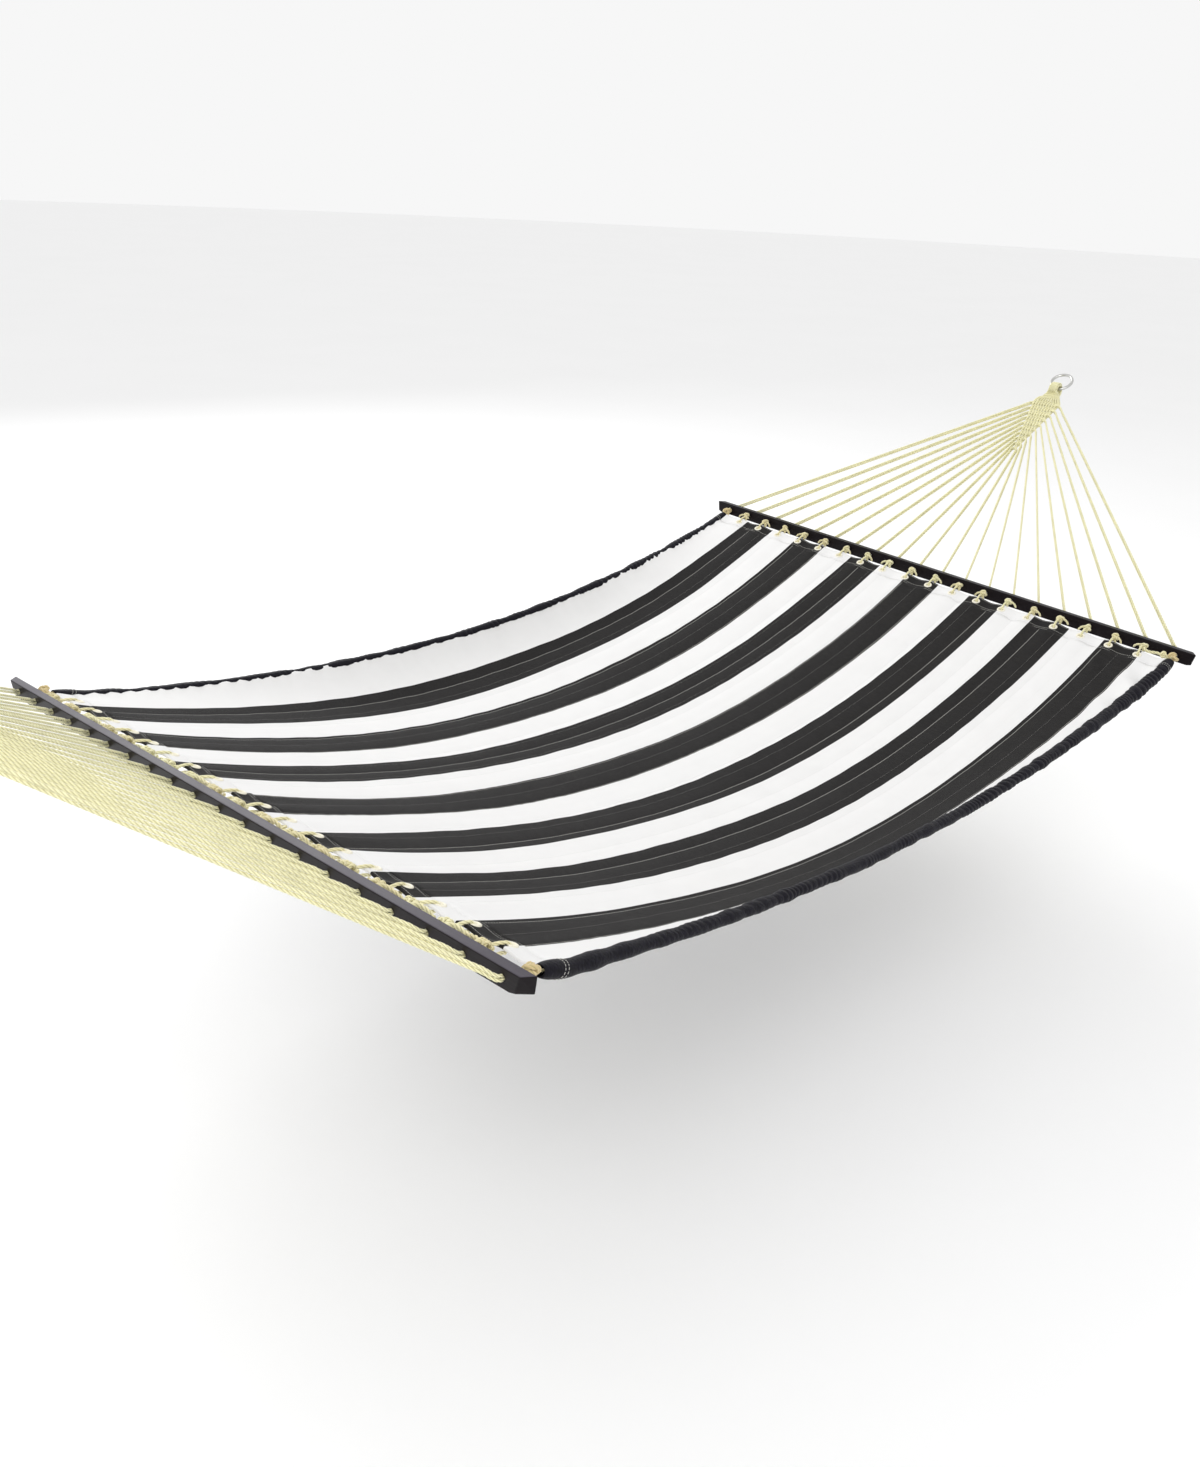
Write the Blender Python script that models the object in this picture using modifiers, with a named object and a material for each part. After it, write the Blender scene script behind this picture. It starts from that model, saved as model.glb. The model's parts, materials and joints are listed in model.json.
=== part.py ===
"""Double-layer striped fabric hammock with two spreader bars and fanned rope ends.

+X runs from the foot end to the head end, +Y across the bed and +Z up. The origin is the point where the
head ring bears on its hook. Sizes are in metres, angles in radians.
"""

import math

import bmesh
import bpy
from mathutils import Matrix, Vector

# Spreader bars
HOLE_COUNT = 20
HOLE_PITCH = 0.069
BAR_END_MARGIN = 0.0445  # from the outermost hole to the bar's end
BAR_WIDTH = 0.016  # along X
BAR_HEIGHT = 0.030
BAR_END_LEAN = 0.005  # how far an end's foot lies in from its top
BAR_END_MITRE = 0.013  # how much shorter the side towards the clew is at the top
BAR_FOOT_MITRE = 0.018  # and at the foot
BAR_HEEL_LENGTH = 0.010  # of the slope between an end's foot and the underside
BAR_HEEL_HEIGHT = 0.003
BAR_EDGE_ROUND = 0.0015
BAR_SPACING = 2.067  # between the bars' centre lines, along X
BAR_TWIST = math.radians(2.87)  # each bar rolls this much, in opposite ways
BAR_STEP = 0.0206  # the foot bar hangs this much above the mean, the head bar below it

# Ropes
ROPE_DIAMETER = 0.0055
LEG_GAP = 0.0004  # between the two legs of a rope inside a hole
HOLE_CLEARANCE = 0.0004  # around the two legs
KNOT_RADIUS = 0.0085
END_KNOT_RADIUS = 0.011
KNOT_GAP = 0.0005  # between a knot and the bar
SHAPE_GAP = 0.0003  # between pieces that touch
SEAM_GAP = 0.001  # between the bed's ends and its hems

# Clews, measured from the bar's centre line to where the clew's eye bears on the ring
CLEW_REACH = 0.568
CLEW_RISE = 0.402
WEAVE_TOP_HALF = 0.020
WEAVE_HALF = 0.036
WEAVE_TIP_HALF = 0.006
WEAVE_SHOULDER = 0.030  # from the weave's top to its widest place
WEAVE_LENGTH = 0.226
WEAVE_THICKNESS = 0.012
WEAVE_LEG_SPREAD = 0.009  # between the two legs of a rope where they leave the weave
ROPE_STANDOFF = 0.0035  # from the weave's side to the middle of a rope's end

# Hanging rings and the eyes that bear on them
RING_WIRE = 0.008
RING_INNER = 0.048
EYE_INNER = 0.026
EYE_THICKNESS = 0.011
EYE_PLAY = 0.001  # between the eye and the ring where they bear

# Bed
HEM_ANGLE = math.radians(22.5)  # the bed's fall where it leaves a bar
HEM_LENGTH = 0.038
LAYER_THICKNESS = 0.0025
EYELET_DIAMETER = 0.012
EYELET_INSET = 0.018  # from the hem's edge to an eyelet's centre
HEAD_LACING_GAP = 0.025  # from the bar's face to the hem's edge
FOOT_LACING_GAP = 0.047
BED_SAG = 0.190  # at mid-length, below the line between the hems
EDGE_LIFT = 0.080  # how much less the two long edges sag
EDGE_CURL = 10  # power of the edge's upward curl across the bed
EDGE_BOW = 0.006  # how far the long edges draw in at mid-length
BED_CELLS_LONG = 20
BED_CELLS_WIDE = 16

# Edge sleeves
SLEEVE_DIAMETER = 0.018
SLEEVE_PLAY = 0.00175  # between the edge rope and the inside of its sleeve
SLEEVE_LEAD = 0.010  # of bare edge rope between the bar's end knot and the sleeve

BAR_LENGTH = (HOLE_COUNT - 1) * HOLE_PITCH + 2 * BAR_END_MARGIN
ROPE_RADIUS = ROPE_DIAMETER / 2
LEG_OFFSET = ROPE_RADIUS + LEG_GAP / 2
HOLE_RADIUS = ROPE_DIAMETER + LEG_GAP / 2 + HOLE_CLEARANCE
RING_RADIUS = (RING_INNER + RING_WIRE) / 2
SLEEVE_RADIUS = SLEEVE_DIAMETER / 2
SLEEVE_WALL = SLEEVE_RADIUS - SLEEVE_PLAY - ROPE_RADIUS
OUTER_HOLE_Y = (HOLE_COUNT - 1) / 2 * HOLE_PITCH
END_KNOT_REACH = KNOT_GAP + 2 * END_KNOT_RADIUS
HEM_HALF_WIDTH = OUTER_HOLE_Y - SLEEVE_RADIUS - SHAPE_GAP
CLOTH_THICKNESS = 2 * LAYER_THICKNESS + SHAPE_GAP
EYE_CENTRE_X = RING_WIRE / 2 + EYE_PLAY - EYE_INNER / 2
WEAVE_TOP_X = EYE_CENTRE_X - EYE_INNER / 2 - EYE_THICKNESS / 2

COLOURS = {
    "stained_wood": ((0.012, 0.009, 0.011), 0.35, 0.0),
    "cotton_rope": ((0.80, 0.74, 0.47), 0.85, 0.0),
    "striped_cloth": ((0.80, 0.79, 0.77), 0.80, 0.0),
    "backing_cloth": ((0.74, 0.73, 0.71), 0.80, 0.0),
    "sleeve_cloth": ((0.012, 0.012, 0.018), 0.75, 0.0),
    "zinc_steel": ((0.62, 0.62, 0.60), 0.30, 1.0),
}


class End:
    """One end of the hammock: the frames that its bar, its hem and its clew are placed in.

    outward is +1 at the head and -1 at the foot. The clew's frame has its origin where the eye bears on
    the ring and +X pointing away from the bed. The hem's frame has its origin on the bar's inner face, on
    the line of holes, and +X pointing into the bed along the hem.
    """

    def __init__(self, name, outward, bar_centre, rise, lacing_gap):
        self.name = name
        self.outward = outward
        self.lacing_gap = lacing_gap
        self.slope = math.atan2(rise, CLEW_REACH)
        self.bar = Matrix.Translation(bar_centre) @ Matrix.Rotation(outward * BAR_TWIST, 4, "X")
        self.bearing = bar_centre + Vector((outward * CLEW_REACH, 0, rise))
        turn_out = Matrix.Rotation(0.0 if outward > 0 else math.pi, 4, "Z")
        turn_in = Matrix.Rotation(math.pi if outward > 0 else 0.0, 4, "Z")
        self.clew = Matrix.Translation(self.bearing) @ turn_out @ Matrix.Rotation(-self.slope, 4, "Y")
        face = Matrix.Translation((-outward * BAR_WIDTH / 2, 0, 0))
        self.hem = self.bar @ face @ turn_in @ Matrix.Rotation(HEM_ANGLE, 4, "Y")

    def in_clew(self, x, y, z):
        return self.clew @ Vector((x, self.outward * y, z))

    def in_hem(self, x, y, z):
        return self.hem @ Vector((x, -self.outward * y, z))

    def in_bar(self, outward_x, y, z):
        return self.bar @ Vector((self.outward * outward_x, y, z))


def make_ends():
    """Both ends, placed so that the head ring's hook point is the origin."""
    head_rise, foot_rise = CLEW_RISE + BAR_STEP, CLEW_RISE - BAR_STEP
    slope = math.atan2(head_rise, CLEW_REACH)
    hook_reach = RING_INNER + RING_WIRE / 2
    bearing = Vector((-hook_reach * math.cos(slope), 0, -hook_reach * math.sin(slope)))
    head_bar = bearing - Vector((CLEW_REACH, 0, head_rise))
    foot_bar = head_bar + Vector((-BAR_SPACING, 0, 2 * BAR_STEP))
    return (
        End("head", 1, head_bar, head_rise, HEAD_LACING_GAP),
        End("foot", -1, foot_bar, foot_rise, FOOT_LACING_GAP),
    )


def hole_y(index):
    return (index - (HOLE_COUNT - 1) / 2) * HOLE_PITCH


# Scene helpers


def clear_scene():
    for old in list(bpy.data.objects):
        bpy.data.objects.remove(old, do_unlink=True)


def make_collection(name):
    collection = bpy.data.collections.new(name)
    bpy.context.scene.collection.children.link(collection)
    return collection


def make_materials():
    made = {}
    for name, (colour, roughness, metallic) in COLOURS.items():
        material = bpy.data.materials.new(name)
        material.use_nodes = True
        shader = material.node_tree.nodes["Principled BSDF"]
        shader.inputs["Base Color"].default_value = (*colour, 1.0)
        shader.inputs["Roughness"].default_value = roughness
        shader.inputs["Metallic"].default_value = metallic
        material.diffuse_color = (*colour, 1.0)
        made[name] = material
    return made


def add_object(name, mesh, collection, material=None, matrix=None):
    made = bpy.data.objects.new(name, mesh)
    collection.objects.link(made)
    if matrix is not None:
        made.matrix_world = matrix
    if material is not None:
        mesh.materials.clear()
        mesh.materials.append(material)
    return made


def mesh_of(name, build):
    """A mesh filled by build, which adds geometry to a bmesh."""
    grown = bmesh.new()
    build(grown)
    mesh = bpy.data.meshes.new(name)
    grown.to_mesh(mesh)
    grown.free()
    return mesh


def curve_to_mesh(curve_object):
    """Replaces a curve object by its mesh, with the caps welded on."""
    graph = bpy.context.evaluated_depsgraph_get()
    mesh = bpy.data.meshes.new_from_object(curve_object.evaluated_get(graph))
    grown = bmesh.new()
    grown.from_mesh(mesh)
    bmesh.ops.remove_doubles(grown, verts=grown.verts, dist=0.00001)
    bmesh.ops.recalc_face_normals(grown, faces=grown.faces)
    grown.to_mesh(mesh)
    grown.free()
    name, matrix = curve_object.name, curve_object.matrix_world.copy()
    curve = curve_object.data
    bpy.data.objects.remove(curve_object, do_unlink=True)
    bpy.data.curves.remove(curve)
    mesh.name = name
    return name, mesh, matrix


def path_curve(name, points, radius, collection, resolution=1, caps=True):
    curve = bpy.data.curves.new(name, "CURVE")
    curve.dimensions = "3D"
    spline = curve.splines.new("POLY")
    spline.points.add(len(points) - 1)
    for place, point in zip(spline.points, points):
        place.co = (*point, 1.0)
    curve.bevel_depth = radius
    curve.bevel_resolution = resolution
    curve.use_fill_caps = caps
    return add_object(name, curve, collection)


def outline_mesh(name, outline, thickness, collection):
    """A flat plate from an outline in its XY plane, centred on that plane."""
    curve = bpy.data.curves.new(name, "CURVE")
    curve.dimensions = "2D"
    curve.fill_mode = "BOTH"
    curve.extrude = thickness / 2
    spline = curve.splines.new("POLY")
    spline.points.add(len(outline) - 1)
    for place, (x, y) in zip(spline.points, outline):
        place.co = (x, y, 0.0, 1.0)
    spline.use_cyclic_u = True
    return curve_to_mesh(add_object(name, curve, collection))[1]


def shade_round(target, angle=math.radians(40)):
    target.data.shade_smooth()
    target.data.set_sharp_from_angle(angle=angle)


def add_boolean(target, tool, operation):
    modifier = target.modifiers.new(tool.name, "BOOLEAN")
    modifier.operation = operation
    modifier.object = tool
    modifier.solver = "EXACT"


def as_cutter(tool):
    tool.hide_render = True
    tool.display_type = "WIRE"
    return tool


def row_of_cylinders(name, centres, radius, length, sides, collection, matrix):
    """Cylinders along the matrix's own Z, one at each centre, as one cutter."""

    def build(grown):
        for centre in centres:
            bmesh.ops.create_cone(
                grown,
                cap_ends=True,
                segments=sides,
                radius1=radius,
                radius2=radius,
                depth=length,
                matrix=Matrix.Translation(centre),
            )

    return as_cutter(add_object(name, mesh_of(name, build), collection, matrix=matrix))


# Pieces


def make_bar(end, parts, cutters, material):
    """A flat-sided bar with mitred ends that lean in towards their foot, drilled for the ropes."""
    half, top, bottom = BAR_LENGTH / 2, BAR_HEIGHT / 2, -BAR_HEIGHT / 2
    foot_y, foot_z = half - BAR_END_LEAN, bottom + BAR_HEEL_HEIGHT
    heel_y = foot_y - BAR_HEEL_LENGTH
    outline = [(-half, top), (-foot_y, foot_z), (-heel_y, bottom)]
    outline += [(heel_y, bottom), (foot_y, foot_z), (half, top)]
    name = f"spreader_bar_{end.name}"
    mesh = outline_mesh(name, outline, BAR_WIDTH, parts)
    stand_up = Matrix(((0, 0, 1, 0), (1, 0, 0, 0), (0, 1, 0, 0), (0, 0, 0, 1)))
    mesh.transform(stand_up)
    for vertex in mesh.vertices:
        if vertex.co.x * end.outward > 0:
            depth = (top - vertex.co.z) / BAR_HEIGHT
            mitre = BAR_END_MITRE + depth * (BAR_FOOT_MITRE - BAR_END_MITRE)
            vertex.co.y -= math.copysign(mitre, vertex.co.y)
    bar = add_object(name, mesh, parts, material, end.bar)
    rounding = bar.modifiers.new("rounded_edges", "BEVEL")
    rounding.width = BAR_EDGE_ROUND
    rounding.segments = 2
    rounding.limit_method = "ANGLE"
    # The cutter's own Z points along the bar's X, so its own X is the bar's -Z.
    along_x = end.bar @ Matrix.Rotation(math.pi / 2, 4, "Y")
    centres = [(0, hole_y(index), 0) for index in range(HOLE_COUNT)]
    drill = row_of_cylinders(
        f"rope_holes_{end.name}", centres, HOLE_RADIUS, BAR_WIDTH * 2, 10, cutters, along_x
    )
    add_boolean(bar, drill, "DIFFERENCE")
    return bar


def weave_half_width(below_top):
    """Half the weave's width, this far below its top."""
    if below_top < WEAVE_SHOULDER:
        share = below_top / WEAVE_SHOULDER
        return WEAVE_TOP_HALF + share * (WEAVE_HALF - WEAVE_TOP_HALF)
    share = (below_top - WEAVE_SHOULDER) / (WEAVE_LENGTH - WEAVE_SHOULDER)
    return WEAVE_HALF + share * (WEAVE_TIP_HALF - WEAVE_HALF)


def make_weave(end, parts, cutters, material):
    """The woven triangle of the clew, with the eye that bears on the ring."""
    corners = [
        (WEAVE_TOP_X, WEAVE_TOP_HALF),
        (WEAVE_TOP_X - WEAVE_SHOULDER, WEAVE_HALF),
        (WEAVE_TOP_X - WEAVE_LENGTH, WEAVE_TIP_HALF),
    ]
    outline = corners + [(x, -y) for x, y in reversed(corners)]
    name = f"clew_weave_{end.name}"
    mesh = outline_mesh(name, outline, WEAVE_THICKNESS, parts)
    weave = add_object(name, mesh, parts, material, end.clew)
    bpy.ops.mesh.primitive_torus_add(
        major_segments=20,
        minor_segments=8,
        major_radius=(EYE_INNER + EYE_THICKNESS) / 2,
        minor_radius=EYE_THICKNESS / 2,
    )
    eye = bpy.context.active_object
    eye.name = f"clew_eye_{end.name}"
    for holder in list(eye.users_collection):
        holder.objects.unlink(eye)
    cutters.objects.link(eye)
    upright = Matrix.Translation((EYE_CENTRE_X, 0, 0)) @ Matrix.Rotation(math.pi / 2, 4, "X")
    eye.matrix_world = end.clew @ upright
    add_boolean(weave, as_cutter(eye), "UNION")
    return weave


def make_ring(end, parts, material):
    """A round steel ring that lies in the clew's own plane."""
    bpy.ops.mesh.primitive_torus_add(
        major_segments=24, minor_segments=8, major_radius=RING_RADIUS, minor_radius=RING_WIRE / 2
    )
    ring = bpy.context.active_object
    ring.name = f"hanging_ring_{end.name}"
    ring.data.transform(Matrix.Translation((RING_RADIUS, 0, 0)))
    ring.matrix_world = end.clew
    ring.data.materials.append(material)
    for holder in list(ring.users_collection):
        holder.objects.unlink(ring)
    parts.objects.link(ring)
    ring.data.shade_smooth()
    return ring


def rope_leg(end, index, upper):
    """One leg of a doubled rope, from the weave through the bar to the eyelet, as a list of points.

    The two legs lie one over the other. The outermost ropes turn round inside their knot, the others
    pass over and under the hem and turn round through its eyelet.
    """
    y = hole_y(index)
    side = math.copysign(1.0, y)
    from_outside = min(index, HOLE_COUNT - 1 - index)
    weave_side = WEAVE_LENGTH - WEAVE_SHOULDER
    below_top = WEAVE_SHOULDER + (from_outside + 0.5) * weave_side / (HOLE_COUNT / 2)
    start_y = side * (weave_half_width(below_top) + ROPE_STANDOFF)
    start = end.in_clew(WEAVE_TOP_X - below_top, start_y, upper * WEAVE_LEG_SPREAD / 2)
    outside, inside = BAR_WIDTH / 2 + ROPE_DIAMETER, -BAR_WIDTH / 2 - KNOT_GAP - ROPE_RADIUS
    points = [
        start,
        end.in_bar(outside, y, upper * LEG_OFFSET),
        end.in_bar(inside, y, upper * LEG_OFFSET),
    ]
    if from_outside == 0:
        turn = -BAR_WIDTH / 2 - KNOT_GAP - END_KNOT_RADIUS
        return points + [end.in_bar(turn, y, upper * LEG_OFFSET * 0.9)]
    over_hem = CLOTH_THICKNESS / 2 + ROPE_RADIUS + 2 * SHAPE_GAP
    eyelet = end.lacing_gap + EYELET_INSET
    points.append(end.in_hem(end.lacing_gap - ROPE_RADIUS, y, upper * over_hem))
    points.append(end.in_hem(eyelet - ROPE_RADIUS, y, upper * over_hem))
    points.append(end.in_hem(eyelet + SHAPE_GAP, y, upper * over_hem * 0.6))
    return points


def make_rope(end, index, parts, cutters, material):
    """A clew rope folded in two, with its stopper knot against the inside of the bar."""
    points = rope_leg(end, index, 1) + rope_leg(end, index, -1)[::-1]
    name, mesh, matrix = curve_to_mesh(
        path_curve(f"clew_rope_{end.name}_{index + 1:02d}", points, ROPE_RADIUS, parts)
    )
    rope = add_object(name, mesh, parts, material, matrix)
    outermost = index in (0, HOLE_COUNT - 1)
    radius = END_KNOT_RADIUS if outermost else KNOT_RADIUS

    def build(grown):
        bmesh.ops.create_uvsphere(grown, u_segments=6, v_segments=4, radius=radius)

    centre = end.in_bar(-BAR_WIDTH / 2 - KNOT_GAP - radius, hole_y(index), 0)
    knot_name = f"knot_{end.name}_{index + 1:02d}"
    knot = add_object(
        knot_name, mesh_of(knot_name, build), cutters, matrix=Matrix.Translation(centre)
    )
    add_boolean(rope, as_cutter(knot), "UNION")
    return rope


def make_hem(end, parts, cutters, material):
    """The folded end band of the bed, pierced by an eyelet for each laced rope."""
    middle = end.lacing_gap + HEM_LENGTH / 2

    def build(grown):
        size = Matrix.Diagonal((HEM_LENGTH, 2 * HEM_HALF_WIDTH, CLOTH_THICKNESS, 1.0))
        place = Matrix.Translation((middle, 0, 0))
        bmesh.ops.create_cube(grown, size=1.0, matrix=place @ size)

    name = f"hem_band_{end.name}"
    hem = add_object(name, mesh_of(name, build), parts, material, end.hem)
    inset = end.lacing_gap + EYELET_INSET
    centres = [(inset, hole_y(index), 0) for index in range(1, HOLE_COUNT - 1)]
    punch = row_of_cylinders(
        f"eyelets_{end.name}", centres, EYELET_DIAMETER / 2, CLOTH_THICKNESS * 3, 10, cutters, end.hem
    )
    add_boolean(hem, punch, "DIFFERENCE")
    return hem


def bed_point(head, foot, along, across):
    """A point on the bed's middle surface.

    along runs from -1 at the foot hem to 1 at the head hem, across from -1 to 1. The bed hangs as a
    parabola lengthwise, and its two long edges curl up and draw in towards mid-length.
    """
    share = (along + 1) / 2
    y = across * HEM_HALF_WIDTH
    from_foot = foot.in_hem(foot.lacing_gap + HEM_LENGTH + SEAM_GAP, y, 0)
    from_head = head.in_hem(head.lacing_gap + HEM_LENGTH + SEAM_GAP, y, 0)
    fall = 1 - along * along
    sag = BED_SAG - EDGE_LIFT * abs(across) ** EDGE_CURL
    point = from_foot.lerp(from_head, share)
    return point + Vector((0, -EDGE_BOW * across * fall, -sag * fall))


def make_bed_layer(name, head, foot, upper, parts, material):
    """One of the two cloths of the bed, lying above or below the bed's middle surface."""

    def build(grown):
        bmesh.ops.create_grid(
            grown, x_segments=BED_CELLS_LONG, y_segments=BED_CELLS_WIDE, size=1.0
        )
        for vertex in grown.verts:
            along, even = vertex.co.x, vertex.co.y
            across = math.sin(even * math.pi / 2)  # closer together towards the edges
            vertex.co = bed_point(head, foot, along, across)
            vertex.co.z += upper * SHAPE_GAP / 2

    layer = add_object(name, mesh_of(name, build), parts, material)
    cloth = layer.modifiers.new("cloth_thickness", "SOLIDIFY")
    cloth.thickness = LAYER_THICKNESS
    cloth.offset = upper
    layer.data.shade_smooth()
    return layer


def edge_point(head, foot, along, side):
    """A point on an edge sleeve's centre line, just clear of the cloth's edge."""
    edge = bed_point(head, foot, along, side)
    outward = (edge - bed_point(head, foot, along, side * 0.995)).normalized()
    return edge + outward * (SLEEVE_RADIUS + SHAPE_GAP)


def edge_path(head, foot, side):
    """The sleeve's centre line, from near the foot bar's end knot to near the head bar's."""
    y = side * OUTER_HOLE_Y
    points = [foot.in_hem(END_KNOT_REACH + SLEEVE_LEAD, y, 0)]
    points += [
        edge_point(head, foot, -1 + 2 * step / BED_CELLS_LONG, side)
        for step in range(BED_CELLS_LONG + 1)
    ]
    points.append(head.in_hem(END_KNOT_REACH + SLEEVE_LEAD, y, 0))
    return points


def make_sleeve(name, path, parts, material):
    """The gathered tube of cloth along an edge, open at both ends."""
    tube = path_curve(name, path, SLEEVE_RADIUS, parts, resolution=2, caps=False)
    name, mesh, matrix = curve_to_mesh(tube)
    sleeve = add_object(name, mesh, parts, material, matrix)
    wall = sleeve.modifiers.new("wall", "SOLIDIFY")
    wall.thickness = SLEEVE_WALL
    wall.offset = -1
    sleeve.data.shade_smooth()
    return sleeve


def make_edge_rope(name, head, foot, side, path, parts, material):
    """The rope inside an edge sleeve, from the foot bar's end knot to the head bar's."""
    y = side * OUTER_HOLE_Y
    first = foot.in_hem(END_KNOT_REACH + SHAPE_GAP, y, 0)
    last = head.in_hem(END_KNOT_REACH + SHAPE_GAP, y, 0)
    rope = path_curve(name, [first, *path, last], ROPE_RADIUS, parts)
    rope.data.materials.append(material)
    return rope


def hang_from(empty, pieces):
    for piece in pieces:
        matrix = piece.matrix_world.copy()
        piece.parent = empty
        piece.matrix_parent_inverse = empty.matrix_world.inverted()
        piece.matrix_world = matrix


def main():
    clear_scene()
    parts = make_collection("striped_hammock")
    cutters = make_collection("cutters")
    materials = make_materials()
    rope, wood = materials["cotton_rope"], materials["stained_wood"]
    head, foot = make_ends()

    swinging, rings = [], {}
    for end in (head, foot):
        rings[end.name] = make_ring(end, parts, materials["zinc_steel"])
        swinging.append(make_bar(end, parts, cutters, wood))
        swinging.append(make_weave(end, parts, cutters, rope))
        swinging.append(make_hem(end, parts, cutters, materials["striped_cloth"]))
        for index in range(HOLE_COUNT):
            swinging.append(make_rope(end, index, parts, cutters, rope))
    swinging.append(
        make_bed_layer("bed_cloth_upper", head, foot, 1, parts, materials["striped_cloth"])
    )
    swinging.append(
        make_bed_layer("bed_cloth_lower", head, foot, -1, parts, materials["backing_cloth"])
    )
    for side, label in ((-1, "near"), (1, "far")):
        path = edge_path(head, foot, side)
        swinging.append(
            make_sleeve(f"edge_sleeve_{label}", path, parts, materials["sleeve_cloth"])
        )
        swinging.append(
            make_edge_rope(f"edge_rope_{label}", head, foot, side, path, parts, rope)
        )

    swing_axis = bpy.data.objects.new("swing_axis", None)
    foot_ring_axis = bpy.data.objects.new("foot_ring_axis", None)
    for empty, end in ((swing_axis, head), (foot_ring_axis, foot)):
        parts.objects.link(empty)
        empty.matrix_world = Matrix.Translation(end.bearing)
    bpy.context.view_layer.update()
    hang_from(swing_axis, [*swinging, foot_ring_axis])
    hang_from(foot_ring_axis, [rings["foot"]])


main()
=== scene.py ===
"""Looks of a striped double-layer hammock: laid ropes, woven clews, quilted bed, hems and edge sleeves.

Metres, +Z up. The origin is where the head ring bears on its hook, +X runs from the foot end to the head
end and +Y across the bed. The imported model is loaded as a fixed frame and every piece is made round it.
"""

import json
import math

import bmesh
import bpy
import numpy as np
from bpy.props import FloatProperty, FloatVectorProperty, PointerProperty
from bpy.types import Operator, Panel, PropertyGroup
from mathutils import Matrix


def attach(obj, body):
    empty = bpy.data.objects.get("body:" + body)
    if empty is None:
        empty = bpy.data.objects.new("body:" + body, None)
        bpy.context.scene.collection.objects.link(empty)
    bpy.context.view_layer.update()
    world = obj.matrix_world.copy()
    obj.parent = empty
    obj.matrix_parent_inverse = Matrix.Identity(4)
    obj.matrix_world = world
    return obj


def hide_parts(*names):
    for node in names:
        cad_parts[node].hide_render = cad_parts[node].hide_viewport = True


bl_info = {
    "name": "Striped Hammock",
    "version": (1, 0, 0),
    "blender": (4, 5, 0),
    "location": "3D View > Sidebar > Hammock",
    "description": "Makes the finished pieces of a striped hammock round its packed model",
    "category": "Add Mesh",
}

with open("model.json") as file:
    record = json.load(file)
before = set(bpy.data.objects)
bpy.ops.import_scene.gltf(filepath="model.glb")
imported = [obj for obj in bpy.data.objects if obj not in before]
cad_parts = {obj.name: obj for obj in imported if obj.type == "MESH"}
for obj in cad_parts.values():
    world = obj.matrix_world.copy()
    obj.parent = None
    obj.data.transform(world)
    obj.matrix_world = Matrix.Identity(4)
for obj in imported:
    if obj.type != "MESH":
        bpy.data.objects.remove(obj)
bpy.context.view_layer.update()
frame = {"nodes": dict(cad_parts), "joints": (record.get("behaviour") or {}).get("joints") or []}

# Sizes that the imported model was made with
HOLE_COUNT = 20
HOLE_PITCH = 0.069
BAR_WIDTH = 0.016
BAR_TWIST = math.radians(2.87)
BAR_STEP = 0.0206
CLEW_REACH = 0.568
CLEW_RISE = 0.402
LEG_OFFSET = 0.00295  # from a hole's centre to each of the two legs in it
KNOT_RADIUS = 0.0085
END_KNOT_RADIUS = 0.011
KNOT_GAP = 0.0005
WEAVE_TOP_HALF = 0.020
WEAVE_SHOULDER = 0.030
WEAVE_LENGTH = 0.226
WEAVE_TOP_X = -0.0265
EYE_CENTRE_X = -0.008
EYE_RADIUS = 0.0185
RING_RADIUS = 0.028
RING_WIRE = 0.008
HEM_ANGLE = math.radians(22.5)
HEM_LENGTH = 0.038
EYELET_RADIUS = 0.006
EYELET_INSET = 0.018
LACING_GAP = {"head": 0.025, "foot": 0.047}
BED_SAG = 0.190
EDGE_LIFT = 0.080
EDGE_CURL = 10
EDGE_BOW = 0.006
SLEEVE_RADIUS = 0.009
SHAPE_GAP = 0.0003
OUTER_HOLE_Y = (HOLE_COUNT - 1) / 2 * HOLE_PITCH
END_KNOT_REACH = KNOT_GAP + 2 * END_KNOT_RADIUS
HEM_HALF_WIDTH = OUTER_HOLE_Y - SLEEVE_RADIUS - SHAPE_GAP

# Sizes of the finish
ROPE_SIDES = 9
STRAND_SHAPE = np.tile([1.0, 0.66, 1.0], 3)  # radius at the two shoulders of each strand and its groove
# 1 in the groove between two strands: where the rope's painted shade goes.
STRAND_GROOVE_SHADE = np.tile([0.0, 1.0, 0.0], 3)
KNOT_SLIDE = {"head": 0.0, "foot": 0.020}  # of the end knots along the side ropes, away from the bar
COLUMN_PITCH = 0.0039  # from one strand of the weave to the next
ROW_LENGTH = (WEAVE_LENGTH - WEAVE_SHOULDER) / (HOLE_COUNT / 2)
STRAND_WAVE = 0.0031  # of a strand to the front and the back of the weave
LOOP_PITCH = 0.0021  # from one loop round the ring to the next
LOOP_LAYER = 0.0022  # of the loops inwards or outwards in turn
STRIPE_SHIFT = -0.012  # of the middle stripe from the bed's middle
QUILTING_LINES = STRIPE_SHIFT + np.array(
    [
        *(-0.576, -0.498, -0.420, -0.342, -0.270, -0.199, -0.120, -0.042),
        *(0.042, 0.110, 0.178, 0.246, 0.314, 0.392, 0.470, 0.548),
    ]
)
CLOTH_GAP = 0.0012  # from the bed's middle surface to each cloth at a quilting line
CLOTH_ROWS = 190
HEM_HALF_THICKNESS = 0.0026
HEM_STITCH_ROWS = (0.0045, HEM_LENGTH - 0.0095, HEM_LENGTH - 0.0040)  # inset from the hem's outer edge
GROMMET_RADIUS = 0.0076
GROMMET_HALF_WIDTH = 0.0027
GROMMET_HALF_HEIGHT = 0.0041
SLEEVE_SIDES = 20
SLEEVE_SEED = 40
SLEEVE_FULLNESS = {-1: 1.0, 1: 0.5}  # near and far
SLEEVE_WALL = 0.0028
FAR_SLEEVE_DROP = 0.006
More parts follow.
